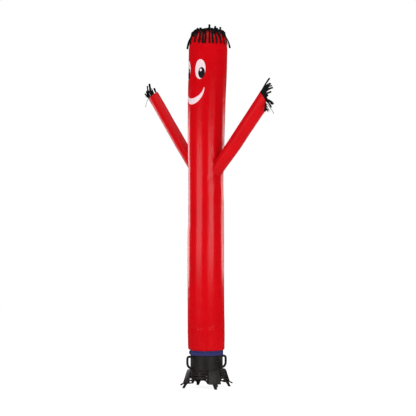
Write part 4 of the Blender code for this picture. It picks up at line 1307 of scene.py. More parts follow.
class DANCER_OT_body(DancerPiece, bpy.types.Operator):
    """Make the body tube's cloth with its folds, seams and printed face"""

    bl_idname = "dancer.body"
    bl_label = "Body Cloth"

    def make(self, scene):
        ask = scene.dancer_cloth
        turns = SEAM_HEADING + np.arange(ask.columns) * 360.0 / ask.columns
        low = BODY[0].height
        top = BODY[-1].height
        rows = np.concatenate(
            (
                np.linspace(low, 0.350, 4, endpoint=False),
                np.linspace(0.350, 0.620, ask.rows // 4, endpoint=False),
                np.linspace(0.620, 3.180, ask.rows * 3 // 5, endpoint=False),
                np.linspace(3.180, top, ask.rows * 3 // 20),
            )
        )
        points = cloth_points(turns[None, :], rows[:, None])
        across = (np.arange(ask.columns + 1) / ask.columns - 0.5) * 2 * math.pi * PRINT_RADIUS
        body = ring_mesh("body_cloth", points, across, np.broadcast_to(rows[:, None], points.shape[:2]))
        add_modifier(body, "SOLIDIFY", thickness=CLOTH, offset=-1.0, use_even_offset=True)
        cutters = []
        for arm in ARMS:
            form = ArmForm(arm)
            around = arm.side * np.arange(72) * 5.0
            ends = [form.points(around, np.full(72, end), -CLOTH) for end in (-ARM_INSIDE, ARM_INSIDE)]
            cutter = ring_mesh("arm_hole", np.stack(ends))
            work = bmesh.new()
            work.from_mesh(cutter.data)
            bmesh.ops.holes_fill(work, edges=work.edges)
            bmesh.ops.recalc_face_normals(work, faces=work.faces)
            work.to_mesh(cutter.data)
            work.free()
            cut(body, cutter)
            cutters.append(cutter)
        applied(body, cutters)
        dress(body, nylon("red ripstop nylon, printed", True), ["body_tube"], sharp=60.0)

        thread = thread_material()
        lines = []
        up = np.linspace(0.356, 3.300, 500)
        for side in (-1.8, 1.8):
            spot = np.full_like(up, SEAM_HEADING + side)
            lines.append(cloth_seam(spot, up))
        rows_mesh = line_mesh("back_seam", lines)
        seam = grown("back_seam_stitches", rows_mesh, stitch_tree(), pitch=ask.stitch, material=thread)
        dress(seam, sharp=0)
        around = np.arange(0, 360, 2.0)
        lines = [cloth_seam(around, np.full_like(around, HEAD_HEM_HEIGHT))]
        hem = grown(
            "head_hem_stitches",
            line_mesh("head_hem", lines, closed=True),
            stitch_tree(),
            pitch=ask.stitch,
            material=thread,
        )
        dress(hem, sharp=0)


class DANCER_OT_arms(DancerPiece, bpy.types.Operator):
    """Make both arms' cloth, sewn to the body at the root and open at the hand"""

    bl_idname = "dancer.arms"
    bl_label = "Arm Cloth"

    def make(self, scene):
        ask = scene.dancer_cloth
        cloth = nylon("red ripstop nylon", False)
        columns = 84
        rows = 96
        for arm in ARMS:
            form = ArmForm(arm)
            turns = arm.side * (-90.0 + np.arange(columns) * 360.0 / columns)
            roots = form.roots(turns)
            mouths = form.reach(turns)
            share = np.linspace(0, 1, rows)[:, None]
            share = 0.5 * share + 0.5 * (0.5 - 0.5 * np.cos(math.pi * share))
            along = roots + (mouths - roots) * share
            every_turn = np.broadcast_to(turns, along.shape)
            bumps = form.relief(every_turn, np.broadcast_to(share, along.shape), arm.length)
            bumps = bumps * np.clip(share * 30, 0, 1)
            points = form.points(every_turn, along, bumps)
            width = math.pi * 0.5 * (arm.wide + arm.narrow)
            across = np.arange(columns + 1) / columns * width
            piece = ring_mesh("arm_cloth_" + arm.name, points, across, along)
            add_modifier(piece, "SOLIDIFY", thickness=CLOTH, offset=-1.0, use_even_offset=True)
            applied(piece)
            dress(piece, cloth, ["arm_" + arm.name], sharp=60.0)

            def on_arm(at_turns, at_along, at_share):
                bulge = form.relief(at_turns, at_share, arm.length)
                line = form.points(at_turns, at_along, bulge + STITCH_LIFT)
                return seam_lines(line, form.points(at_turns, at_along, bulge + STITCH_ABOVE))

            rings = []
            for share_now in (0.012, 0.970, 0.977):
                now = np.full(columns, share_now)
                rings.append(on_arm(turns, roots + (mouths - roots) * now, now))
            thread = bpy.data.materials["bonded red thread"]
            stitches = grown(
                f"arm_{arm.name}_stitches",
                line_mesh("rings", rings, closed=True),
                stitch_tree(),
                pitch=ask.stitch,
                material=thread,
            )
            dress(stitches, sharp=0)
            welt_line = seam_lines(form.points(turns, roots, 0.0), form.points(turns, roots, 0.01))
            welt = grown(
                f"arm_{arm.name}_welt",
                line_mesh("welt", [welt_line], closed=True),
                piping_tree(),
                radius=0.0024,
                material=cloth,
            )
            dress(welt, sharp=0)


# ---------------------------------------------------------------- operators: fringes


def smooth_route(points, count):
    """Points evenly spread on a smooth curve through a few."""
    spots = np.array([tuple(p) for p in points])
    steps = np.concatenate(([0.0], np.cumsum(np.linalg.norm(np.diff(spots, axis=0), axis=1))))
    at = np.linspace(0, steps[-1], count)
    return np.stack([eased(steps, spots[:, axis], at) for axis in range(3)], axis=-1)


def strip_line(route, across, chance, curl, twist):
    """A strip's points and its thin directions, with a curl across and a twist to its end."""
    phase = chance.uniform(0, 2 * math.pi)
    speed = chance.uniform(1.2, 2.6)
    count = len(route)
    share = np.linspace(0, 1, count)
    swing = curl * share * np.sin(phase + speed * math.pi * share)
    bent = route + np.array(across)[None, :] * swing[:, None]
    ways = np.gradient(bent, axis=0)
    ways /= np.linalg.norm(ways, axis=1, keepdims=True)
    thin = []
    for i, way in enumerate(ways):
        way = Vector(way)
        side = Vector(across)
        side = (side - way * side.dot(way)).normalized()
        side = Matrix.Rotation(math.radians(twist * share[i] ** 1.5), 3, way) @ side
        thin.append(side.cross(way).normalized())
    return bent, np.array(thin)


class DANCER_OT_hair(DancerPiece, bpy.types.Operator):
    """Make the hair: a band inside the top hem and cut strips that fold over it"""

    bl_idname = "dancer.hair"
    bl_label = "Hair"

    def make(self, scene):
        ask = scene.dancer_fringe
        chance = random.Random(ask.seed)
        top = BODY[-1].height
        wild = {row.strip: row for row in WILD_HAIR}
        locks = {row.strip: row for row in LOCKS}
        lines = []
        shares = []

        def surface(turn, height, outwards):
            return Vector(tube_points(np.array([turn]), np.array([height]), outwards)[0])

        def crest(turn):
            wave = math.sin(math.radians(HAIR_CREST_WAVES * turn))
            return surface(turn, top, -HAIR_BAND_IN) + Vector((0, 0, HAIR_CREST + HAIR_CREST_WAVE * wave))

        def add(turn, points, count, curl, twist, wide):
            across = heading(turn + 90.0)
            line = strip_line(smooth_route(points, count), across, chance, curl, twist)
            lines.append(line)
            taper = np.linspace(1.0, 0.94, len(line[0]))
            shares.extend(taper * wide)

        for number in range(2 * ask.hair_count):
            main = number % 2 == 0
            strip = number // 2
            turn = 360.0 * number / (2 * ask.hair_count) + chance.uniform(-2.0, 2.0)
            row = wild.get(strip) if main else None
            lock = locks.get(strip) if main else None
            if lock:
                turn = lock.turn
            out = heading(turn)
            across = heading(turn + 90.0)
            base = crest(turn) - Vector((0, 0, 0.010))
            if row and row.hang == 0.0:
                tip = Vector((0, 0, row.rise + 0.008)) + out * row.out + across * row.aside
                middle = Vector((0, 0, 0.55 * row.rise + 0.008)) + (out * row.out + across * row.aside) * 0.3
                add(turn, [base, base + middle, base + tip], 10, 0.002, row.twist, 1.25)
                continue
            rise = chance.uniform(0.0, 0.0035) if row is None else row.rise
            hang = HAIR_HANG * (chance.uniform(0.92, 1.03) if main else chance.uniform(0.12, 0.28))
            if main and strip % 2 and not lock:
                hang *= HAIR_SHORT
            slant = lock.slant if lock else 0.012 * chance.uniform(-1.0, 1.0)
            tier = 0.0035 * (strip % 2) if main else 0.001
            spread = 0.0
            twist = chance.uniform(-16, 16)
            if row:
                spread, hang, slant, twist = row.out, row.hang, row.aside, row.twist
            peak = base + Vector((0, 0, 0.010 + rise * 0.7))
            points = [base, peak + out * 0.001, peak + Vector((0, 0, rise * 0.25)) + out * 0.0055]
            points.append(peak + out * (0.009 + tier) - Vector((0, 0, 0.007)))
            for drop, sway, opened in ((0.15, 0.1, 0.3), (0.5, 0.55, 0.6), (0.8, 0.9, 0.9), (1.0, 1.0, 1.0)):
                point = surface(turn, top - hang * drop, 0.0055 + tier + opened * spread)
                points.append(point + across * slant * sway)
            wide = chance.uniform(1.05, 1.25) if main else chance.uniform(0.6, 0.9)
            wide = 1.25 if row else wide
            add(turn, points, 18, 0.003, twist, lock.wide if lock else wide)
        material = strip_material()
        rows = line_mesh("hair_rows", lines, shares=shares)
        strips = grown(
            "hair_strips",
            rows,
            strip_tree(),
            width=ask.hair_width,
            thickness=ask.thickness,
            material=material,
        )
        turns = np.arange(0, 360, 2.0)
        rings = []
        out_side = 0.5 * HAIR_BAND_IN
        band_corners = ((HAIR_BAND_IN, True), (out_side, True), (out_side, False), (HAIR_BAND_IN, False))
        for deep, low in band_corners:
            ring = tube_points(turns, np.full_like(turns, top), -deep - 0.0006)
            wave = HAIR_CREST + HAIR_CREST_WAVE * np.sin(np.radians(HAIR_CREST_WAVES * turns))
            ring[:, 2] += -0.012 if low else wave
            rings.append(ring)
        band = ring_mesh("hair_band", np.stack(rings), closed=True)
        dress(strips, None, ["hair_fringe"], sharp=30.0)
        dress(band, material, sharp=30.0)


def in_picture(point):
    """Where a point shows in the camera's picture, and how many pixels a metre takes there."""
    along = CAMERA_DISTANCE - point.dot(heading(CAMERA_HEADING))
    right = point.dot(heading(CAMERA_HEADING + 90.0)) - CAMERA_ASIDE
    above = point.z - CAMERA_HEIGHT
    tilt = math.radians(CAMERA_TILT)
    depth = along * math.cos(tilt) + above * math.sin(tilt)
    rise = above * math.cos(tilt) - along * math.sin(tilt)
    scale = CAMERA_LENS / CAMERA_SENSOR * PICTURE / depth
    return 0.5 * PICTURE + right * scale, 0.5 * PICTURE - rise * scale, scale


def way_to_end(root, row):
    """The way from a strip's root to the place where its end shows in the camera's picture."""
    x, y, scale = in_picture(root)
    right = heading(CAMERA_HEADING + 90.0) * (row.end_x - x) / scale
    down = Vector((0.0, 0.0, -1.0)) * (row.end_y - y) / scale
    return right + down + heading(CAMERA_HEADING) * row.nearer


def bend_and_tip(form, ahead, level, above):
    """The point that a hand's strip bends by and its end, both from its root."""
    along = Vector(form.along)
    aside = Vector(form.level) * level + Vector(form.upper) * above
    reach = max(HAND_BEND_LEAST, 0.5 * ahead + HAND_BEND_ASIDE * aside.length)
    bend = along * reach + aside * HAND_BEND_ASIDE
    return bend, along * ahead + aside


def in_millimetres(lengths):
    """Lengths in metres, to the nearest millimetre."""
    return [round(length, 3) for length in lengths]


def facing_twist(bend, tip, across, facing):
    """The twist, in whole steps, that turns a strip's end to the camera as squarely as is asked."""
    way = (tip - bend * HAND_TWIST_SEEN).normalized()
    side = (across - way * across.dot(way)).normalized()

    def miss(twist):
        turned_side = Matrix.Rotation(math.radians(twist * HAND_TWIST_SEEN), 3, way) @ side
        thin = turned_side.cross(way).normalized()
        return abs(abs(thin.dot(heading(CAMERA_HEADING))) - facing) + abs(twist) * HAND_TWIST_COST

    return min(range(-HAND_TWIST_MOST, HAND_TWIST_MOST + 1, HAND_TWIST_STEP), key=miss)


class DANCER_OT_hands(DancerPiece, bpy.types.Operator):
    """Make the strips that stream out of each hand"""

    bl_idname = "dancer.hands"
    bl_label = "Hand Fringes"

    def make(self, scene):
        ask = scene.dancer_fringe
        material = bpy.data.materials["black cut nylon"]
        for arm in ARMS:
            chance = random.Random(ask.seed + arm.side)
            form = ArmForm(arm)
            along = Vector(form.along)
            beside = HAND_ROOT_TURN * arm.side

            def spot(turn, back=0.0):
                turn = np.array([turn])
                return Vector(form.points(turn, form.reach(turn) - back, -HAND_SINK)[0])

            lines = []
            shares = []
            for row in HAND_STRIPS[arm.name]:
                root = spot(row.turn)
                across = (spot(row.turn + beside) - spot(row.turn - beside)).normalized()
                end = way_to_end(root, row)
                parts = [end.dot(Vector(axis)) for axis in (form.along, form.level, form.upper)]
                twist = facing_twist(*bend_and_tip(form, *parts), across, row.facing)
                cut = in_millimetres(part * row.cut for part in in_millimetres(parts))
                bend, tip = bend_and_tip(form, *cut)
                points = [spot(row.turn, HAND_ROOT_BACK), root + along * HAND_ROOT_AHEAD]
                points += [root + bend * 2 * t * (1 - t) + tip * t**2 for t in (0.2, 0.4, 0.6, 0.8, 1.0)]
                route = smooth_route(points, HAND_POINTS)
                lines.append(strip_line(route, across, chance, HAND_CURL, twist))
                shares.extend(np.linspace(1.0, 0.85, HAND_POINTS) * row.wide)
            rows = line_mesh("hand_rows", lines, shares=shares)
            strips = grown(
                "hand_strips_" + arm.name,
                rows,
                strip_tree(),
                width=ask.hand_width,
                thickness=ask.thickness,
                material=material,
            )
            dress(strips, None, ["hand_fringe_" + arm.name], sharp=30.0)


# ---------------------------------------------------------------- operators: strap and blower


class DANCER_OT_strap(DancerPiece, bpy.types.Operator):
    """Make the webbing strap that clamps the hem on the drum, and its buckle"""

    bl_idname = "dancer.strap"
    bl_label = "Strap and Buckle"

    def make(self, scene):
        edge = 0.0007
        profile = (
            (STRAP_INNER, STRAP_HIGH),
            (STRAP_OUTER - edge, STRAP_HIGH),
            (STRAP_OUTER, STRAP_HIGH - edge),
            (STRAP_OUTER, 0.75 * STRAP_HIGH + 0.25 * STRAP_LOW),
            (STRAP_OUTER - 0.0003, 0.5 * (STRAP_HIGH + STRAP_LOW)),
            (STRAP_OUTER, 0.25 * STRAP_HIGH + 0.75 * STRAP_LOW),
            (STRAP_OUTER, STRAP_LOW + edge),
            (STRAP_OUTER - edge, STRAP_LOW),
            (STRAP_INNER, STRAP_LOW),
        )
        strap = turned("strap_webbing", profile, 144)
        dress(strap, webbing_material(), ["hem_strap"])
        _, wide, high = BUCKLE_SIZE
        middle = 0.5 * (STRAP_LOW + STRAP_HIGH)
        seat = STRAP_OUTER + GAP
        work = bmesh.new()
        frame_spot = place(BUCKLE_HEADING, seat + 0.5 * BUCKLE_FRAME, middle)
        add_box(work, (BUCKLE_FRAME, wide, high), frame_spot)
        frame_piece = object_from("strap_buckle_frame", work)
        openings = bmesh.new()
        for side in (-1, 1):
            aside = Matrix.Translation((0, side * BUCKLE_SLOT_ASIDE, 0))
            matrix = place(BUCKLE_HEADING, seat + 0.004, middle) @ aside
            add_box(openings, (*BUCKLE_SLOT, high - 0.009), matrix)
        opening = object_from("buckle_openings", openings)
        cut(frame_piece, opening)
        soften(frame_piece, 0.0009)
        applied(frame_piece, [opening])
        dark = plastic("black buckle plastic", scene.dancer_blower.plastic, 0.36, 1400.0, 0.7)
        dress(frame_piece, dark, ["strap_buckle"])
        work = bmesh.new()
        matrix = place(BUCKLE_HEADING, seat + 0.0060, middle)
        lean = Matrix.Rotation(math.radians(BUCKLE_LEVER_TURN), 4, "Z")
        add_box(work, (*BUCKLE_LEVER, high - 0.011), matrix @ lean)
        lever = object_from("strap_buckle_lever", work)
        soften(lever, 0.0011, 3)
        applied(lever)
        dress(lever, dark)


def rounded(profile, radius, steps=3):
    """The closed profile with each of its corners rounded."""
    made = []
    count = len(profile)
    for i, corner in enumerate(profile):
        here = Vector(corner)
        before = Vector(profile[i - 1]) - here
        after = Vector(profile[(i + 1) % count]) - here
        cut_back = min(radius, 0.45 * before.length, 0.45 * after.length)
        start = here + before.normalized() * cut_back
        end = here + after.normalized() * cut_back
        for k in range(steps + 1):
            t = k / steps
            made.append((1 - t) ** 2 * start + 2 * t * (1 - t) * here + t**2 * end)
    return [tuple(point) for point in made]


DRUM_GROOVE = (0.2985, 0.2972, 0.2955, 0.2942)  # heights of its edges and its floor, downwards
DRUM_GROOVE_DEPTH = 0.0012
PANEL_TURNS = (19.0, 199.0)
PANEL_HALF_ANGLE = 18.0
PANEL_TOP = 0.284
PANEL_FOOT = 0.180
PANEL_SUNK = 0.001
PANEL_RAISED = 0.0035
PANEL_SLOPE = 38.0  # lean of its cut corner and of its two grooves
PANEL_CORNER = (20.0, 0.188)  # how far back the corner's cut is turned, and its height
PANEL_GROOVES = (3.0, 0.222, 0.022)  # the same for the upper groove, and the drop to the lower
PANEL_SCREW_TURN = 21.2
PANEL_SCREW_HEIGHTS = (0.250, 0.222)
PANEL_SCREW = 0.0036


def screw_spots(spots, outs):
    """Single points for screws, each with its way out of the surface."""
    return line_mesh("screw_spots", [([spot], [out]) for spot, out in zip(spots, outs)])


class DANCER_OT_drum(DancerPiece, bpy.types.Operator):
    """Make the blower's drum with its ridges, side panels, screws and cable gland"""

    bl_idname = "dancer.drum"
    bl_label = "Drum"

    def make(self, scene):
        ask = scene.dancer_blower
        dark = plastic("black moulded plastic", ask.plastic, 0.44, 1100.0)
        inner = DRUM_RADIUS - WALL
        profile = (
            (DRUM_RADIUS, DRUM_TOP),
            (DRUM_RADIUS, DRUM_GROOVE[0]),
            (DRUM_RADIUS - DRUM_GROOVE_DEPTH, DRUM_GROOVE[1]),
            (DRUM_RADIUS - DRUM_GROOVE_DEPTH, DRUM_GROOVE[2]),
            (DRUM_RADIUS, DRUM_GROOVE[3]),
            (DRUM_RADIUS, DRUM_FOOT + 0.0247),
            (DRUM_RADIUS + UPPER_RIDGE_REACH, DRUM_FOOT + 0.0217),
            (DRUM_RADIUS + UPPER_RIDGE_REACH, DRUM_FOOT + 0.0157),
            (DRUM_RADIUS + RIDGE_VALLEY, DRUM_FOOT + 0.0132),
            (DRUM_RADIUS + RIDGE_VALLEY, DRUM_FOOT + 0.0097),
            (DRUM_RADIUS + RIDGE_REACH, DRUM_FOOT + 0.0077),
            (DRUM_RADIUS + RIDGE_REACH, DRUM_FOOT),
            (inner, DRUM_FOOT),
            (inner, DRUM_TOP),
        )
        drum = turned("drum_shell", rounded(profile, ask.rounding), 144)
        dress(drum, dark, ["blower_housing"])

        # raised side panels, one behind each free leg, with a sloping lower corner and two grooves
        spots = []
        outs = []
        inside = DRUM_RADIUS - PANEL_SUNK
        outside = DRUM_RADIUS + PANEL_RAISED
        outline = ((inside, PANEL_TOP), (outside, PANEL_TOP), (outside, PANEL_FOOT), (inside, PANEL_FOOT))
        for number, turn in enumerate(PANEL_TURNS, 1):
            shell = object_from(f"drum_panel_{number}", swept(outline, PANEL_HALF_ANGLE, 24))
            panel = settle(shell, Matrix.Rotation(math.radians(turn), 4, "Z"))
            knife = bmesh.new()
            lean = Matrix.Rotation(math.radians(PANEL_SLOPE), 4, "X")
            corner = place(turn - PANEL_CORNER[0], DRUM_RADIUS, PANEL_CORNER[1])
            add_box(knife, (0.05, 0.06, 0.16), corner @ lean)
            back, upper, step = PANEL_GROOVES
            for drop in (0.0, step):
                groove = place(turn - back, DRUM_RADIUS + 0.0040, upper - drop) @ lean
                add_box(knife, (0.004, 0.0035, 0.085), groove)
            knife_piece = object_from("panel_knife", knife)
            cut(panel, knife_piece)
            soften(panel, 0.0010)
            applied(panel, [knife_piece])
            dress(panel, dark)
            for height in PANEL_SCREW_HEIGHTS:
                out = heading(turn - PANEL_SCREW_TURN)
                spots.append(out * (DRUM_RADIUS + 0.0006) + Vector((0, 0, height)))
                outs.append(out)
        screws = grown(
            "drum_screws",
            screw_spots(spots, outs),
            screw_tree(),
            radius=PANEL_SCREW,
            material=steel_material(),
        )
        dress(screws, sharp=30.0)

        rings = []
        # share of the gland's length, share of its radius
        stations = (
            (0.0, 0.0), (0.0, 1.0), (0.16, 1.0), (0.20, 0.86), (0.34, 0.86), (0.38, 0.95),
            (0.46, 0.95), (0.50, 0.80), (0.60, 0.80), (0.64, 0.88), (0.72, 0.88), (0.76, 0.74),
            (0.96, 0.72), (1.0, 0.66), (1.0, 0.34), (0.80, 0.32), (0.80, 0.0),
        )
        turns = np.radians(np.arange(32) * 11.25)
        for share, radius in stations:
            size = max(radius, 0.002) * GLAND_RADII[0]
            reach = np.full(32, share * GLAND_LENGTH)
            rings.append(np.stack((reach, size * np.cos(turns), size * np.sin(turns)), axis=-1))
        gland = ring_mesh("cable_gland", np.stack(rings))
        fill_ends(gland)
        settle(gland, place(GLAND_HEADING, DRUM_RADIUS + GAP, GLAND_HEIGHT))
        rubber = plastic("black rubber", ask.rubber, 0.62, 700.0, 0.35)
        dress(gland, rubber, ["cord_gland"])


def leg_outer_at(height):
    return float(np.interp(height, (LEG_FOOT, LEG_SHOULDER), (LEG_FOOT_OUTER, LEG_TOP_OUTER)))


LEG_FRAME_TURN = 3.2  # the frame's grooves lie this many degrees inside the leg's edges
LEG_FRAME_HEIGHT = 0.100
LEG_FRAME_GROOVE = (0.0016, 0.0020, 0.095)


class DANCER_OT_base(DancerPiece, bpy.types.Operator):
    """Make the slotted skirt and the four hollow legs"""

    bl_idname = "dancer.base"
    bl_label = "Skirt and Legs"

    def make(self, scene):
        ask = scene.dancer_blower
        dark = bpy.data.materials["black moulded plastic"]
        inner = SKIRT_RADIUS - WALL
        profile = (
            (SKIRT_RADIUS, SKIRT_TOP),
            (SKIRT_RADIUS, SKIRT_FOOT),
            (inner, SKIRT_FOOT),
            (inner, SKIRT_TOP),
        )
        skirt = turned("slotted_skirt", profile, 144)
        knife = bmesh.new()
        quarter = 360.0 / LEG_COUNT
        wide, high = LEG_OPENING
        for panel in range(LEG_COUNT):
            size = (2.0 * OVERLAP, wide, high - SKIRT_FOOT + OVERLAP)
            level = 0.5 * (high + SKIRT_FOOT - OVERLAP)
            add_box(knife, size, place(LEG_HEADING + quarter * panel, SKIRT_RADIUS, level))
            middle = LEG_HEADING + quarter * (panel + 0.5)
            for row, height in enumerate(SLOT_ROWS):
                first = ARCH_SLOT_INNER if row == len(SLOT_ROWS) - 1 else SLOT_INNER
                for side in (-1, 1):
                    turn = middle + side * 0.5 * (first + SLOT_OUTER)
                    across = SKIRT_RADIUS * math.radians(SLOT_OUTER - first)
                    add_box(knife, (2.0 * OVERLAP, across, SLOT_HEIGHT), place(turn, SKIRT_RADIUS, height))
            matrix = place(middle, SKIRT_RADIUS, ARCH_CENTRE) @ Matrix.Rotation(math.pi / 2, 4, "Y")
            matrix = matrix @ Matrix.Diagonal((ARCH_RISE, ARCH_HALF_WIDTH, 1.0, 1.0))
            add_drum(knife, 1.0, 0.05, matrix, 56)
        knife_piece = object_from("skirt_knife", knife)
        cut(skirt, knife_piece)
        soften(skirt, 0.0007)
        applied(skirt, [knife_piece])
        dress(skirt, dark, ["base_skirt"])

        outline = (
            (LEG_INNER, LEG_TOP),
            (LEG_INNER, LEG_FOOT),
            (LEG_FOOT_OUTER, LEG_FOOT),
            (LEG_TOP_OUTER, LEG_SHOULDER),
            (LEG_TOP_OUTER - LEG_CHAMFER, LEG_TOP),
        )
        low = LEG_FOOT + LEG_WALL
        hollow = (
            (LEG_INNER - OVERLAP, LEG_SHOULDER),
            (LEG_INNER - OVERLAP, low),
            (leg_outer_at(low) - LEG_WALL, low),
            (leg_outer_at(LEG_SHOULDER) - LEG_WALL, LEG_SHOULDER),
        )
        hollow_piece = object_from(
            "leg_hollow", swept(hollow, LEG_HALF_ANGLE - math.degrees(LEG_WALL / LEG_INNER), 10)
        )
        slots = bmesh.new()
        across = 2.0 * (LEG_FOOT_OUTER * math.sin(math.radians(LEG_HALF_ANGLE)) + OVERLAP)
        start = LEG_INNER + LEG_SLOT_FRAME[0]
        for height in LEG_SLOT_ROWS:
            end = leg_outer_at(height + 0.5 * SLOT_HEIGHT) - LEG_SLOT_FRAME[1]
            spot = Matrix.Translation((0.5 * (start + end), 0.0, height))
            add_box(slots, (end - start, across, SLOT_HEIGHT), spot)
        # a shallow frame round the outer plate
        for side in (-1, 1):
            out = 0.5 * (LEG_FOOT_OUTER + LEG_TOP_OUTER)
            turn = place(side * (LEG_HALF_ANGLE - LEG_FRAME_TURN), out, LEG_FRAME_HEIGHT)
            fall = math.atan2(LEG_FOOT_OUTER - LEG_TOP_OUTER, LEG_SHOULDER - LEG_FOOT)
            add_box(slots, LEG_FRAME_GROOVE, turn @ Matrix.Rotation(-fall, 4, "Y"))
        slots_piece = object_from("leg_slots", slots)
        leg = object_from("leg_shell_1", swept(outline, LEG_HALF_ANGLE, 20))
        cut(leg, hollow_piece)
        cut(leg, slots_piece)
        soften(leg, ask.rounding)
        applied(leg, [hollow_piece, slots_piece])
        plain = leg.data
        for number in range(LEG_COUNT):
            if number:
                leg = new_object(f"leg_shell_{number + 1}", plain.copy())
            else:
                leg.data = plain.copy()
            settle(leg, Matrix.Rotation(math.radians(LEG_HEADING + quarter * number), 4, "Z"))
            dress(leg, dark, [f"leg_{number + 1}"])
        bpy.data.meshes.remove(plain)


class DANCER_OT_guard(DancerPiece, bpy.types.Operator):
    """Make the round grille under the drum"""

    bl_idname = "dancer.guard"
    bl_label = "Intake Guard"

    def make(self, scene):
        empty = bpy.data.meshes.new("guard_start")
        dark = bpy.data.materials["black moulded plastic"]
        guard = grown("guard_grille", empty, grille_tree(), material=dark)
        settle(guard, Matrix.Translation((0, 0, GUARD_HEIGHT + 0.5 * GUARD_THICK)))
        soften(guard, 0.0008)
        applied(guard)
        dress(guard, None, ["intake_guard"])


class DANCER_OT_feet(DancerPiece, bpy.types.Operator):
    """Make the rubber feet and the eyelet tabs beside them"""

    bl_idname = "dancer.feet"
    bl_label = "Feet and Tabs"

    def make(self, scene):
        rubber = bpy.data.materials["black rubber"]
        dark = bpy.data.materials["black moulded plastic"]
        top = LEG_FOOT - GAP
        turns = np.radians(np.arange(40) * 9.0)
        # share of the way up, share of the tapering radius
        stations = (
            (0.0, 0.05), (0.0, 0.80), (0.015, 0.94), (0.05, 1.0), (0.20, 1.0), (0.23, 0.93),
            (0.30, 0.93), (0.33, 1.0), (0.50, 1.0), (0.53, 0.94), (0.60, 0.94), (0.63, 1.0),
            (0.97, 1.0), (1.0, 0.96), (1.0, 0.05),
        )
        rings = []
        for share, size in stations:
            radius = size * (SOLE_RADIUS + (ANKLE_RADIUS - SOLE_RADIUS) * share)
            middle = SOLE_REACH + (ANKLE_REACH - SOLE_REACH) * share
            wider = 1.0 + (ANKLE_WIDENING - 1.0) * share
            across = radius * wider * np.sin(turns)
            level = np.full(40, share * top)
            rings.append(np.stack((middle + radius * np.cos(turns), across, level), axis=-1))
        foot = ring_mesh("foot_start", np.stack(rings))
        fill_ends(foot)

        long, wide, thick = TAB_SIZE
        sides = 64
        angles = np.arange(sides) * 2 * math.pi / sides
        ahead = np.cos(angles)
        aside = np.sin(angles)
        hole = np.stack((TAB_HOLE_OFFSET + 0.5 * TAB_HOLE * ahead, 0.5 * TAB_HOLE * aside), axis=-1)
        power = 5.0
        round_off = (np.abs(ahead) ** power + np.abs(aside) ** power) ** (-1 / power)
        rim = np.stack((0.5 * long * round_off * ahead, 0.5 * wide * round_off * aside), axis=-1)
        rings = []
        for share, height in ((1.0, -0.5), (1.0, 0.5), (0.06, 0.5), (0.04, 0.85), (0.0, 0.85), (0.0, -0.5)):
            flat = hole + (rim - hole) * share
            rings.append(np.concatenate((flat, np.full((sides, 1), height * thick)), axis=1))
        tab = ring_mesh("tab_start", np.stack(rings), closed=True)
        tilt = Matrix.Rotation(math.radians(TAB_TILT), 4, "Y")
        for number in range(LEG_COUNT):
            turn = LEG_HEADING + 360.0 * number / LEG_COUNT
            piece = new_object(f"rubber_foot_{number + 1}", foot.data.copy())
            settle(piece, Matrix.Rotation(math.radians(turn), 4, "Z"))
            dress(piece, rubber, [f"foot_{number + 1}"])
            plate = new_object(f"eyelet_tab_{number + 1}", tab.data.copy())
            settle(plate, place(turn, *TAB_CENTRE) @ tilt)
            soften(plate, 0.0006)
            applied(plate)
            dress(plate, dark, [f"tie_tab_{number + 1}"])
        for start in (foot, tab):
            bpy.data.objects.remove(start, do_unlink=True)


FLANGE_SIZE = (0.006, 0.046)  # thickness and width of a handle's flange
FLANGE_SCREW_TURN = 6.4  # its screws are this many degrees to each side


class DANCER_OT_handles(DancerPiece, bpy.types.Operator):
    """Make the two carrying handles with their flanges"""

    bl_idname = "dancer.handles"
    bl_label = "Handles"

    def make(self, scene):
        ask = scene.dancer_blower
        dark = bpy.data.materials["black moulded plastic"]
        seat = DRUM_RADIUS + GAP
        route = (
            (seat, HANDLE_TOP),
            (HANDLE_REACH - 0.016, HANDLE_TOP),
            (HANDLE_REACH - 0.004, HANDLE_TOP - 0.005),
            (HANDLE_REACH, HANDLE_TOP - 0.017),
            (HANDLE_REACH, HANDLE_FOOT + 0.034),
            (HANDLE_REACH - 0.005, HANDLE_FOOT + 0.020),
            (HANDLE_REACH - 0.016, HANDLE_FOOT + 0.006),
            (HANDLE_REACH - 0.024, HANDLE_FOOT),
            (seat, HANDLE_FOOT),
        )
        bends = [route[0]]
        for before, here, after in zip(route, route[1:], route[2:]):
            for t in (0.25, 0.5, 0.75):
                start = 0.5 * (Vector(before) + Vector(here))
                end = 0.5 * (Vector(here) + Vector(after))
                bends.append((1 - t) ** 2 * start + 2 * t * (1 - t) * Vector(here) + t**2 * end)
        bends.append(route[-1])
        spots = []
        outs = []
        for number, leg in enumerate(HANDLE_LEGS, 1):
            turn = LEG_HEADING + 360.0 * leg / LEG_COUNT
            out = heading(turn)
            line = [out * reach + Vector((0, 0, height)) for reach, height in bends]
            away = [heading(turn + 90.0)] * len(line)
            mesh = line_mesh("handle_route", [(line, away)])
            bar = grown(
                f"handle_bar_{number}",
                mesh,
                piping_tree(),
                radius=HANDLE_BAR,
                sides=24,
                material=dark,
            )
            dress(bar, None, [f"handle_{number}"])
            for height in (HANDLE_TOP, HANDLE_FOOT):
                for side in (-1, 1):
                    place_turn = turn + side * FLANGE_SCREW_TURN
                    spots.append(heading(place_turn) * (DRUM_RADIUS + 0.0036) + Vector((0, 0, height)))
                    outs.append(heading(place_turn))
            plates = bmesh.new()
            for height, low, high in ((HANDLE_TOP, 0.012, 0.009), (HANDLE_FOOT, 0.009, 0.012)):
                level = height + 0.5 * (high - low)
                add_box(plates, (*FLANGE_SIZE, low + high), place(turn, DRUM_RADIUS, level))
            flange = object_from(f"handle_flange_{number}", plates)
            soften(flange, 0.0016, 3)
            applied(flange)
            dress(flange, dark)
        screws = grown(
            "handle_screws",
            screw_spots(spots, outs),
            screw_tree(),
            radius=0.0032,
            material=plastic("blackened screws", ask.plastic, 0.34, 900.0, 0.8),
        )
        dress(screws, sharp=30.0)


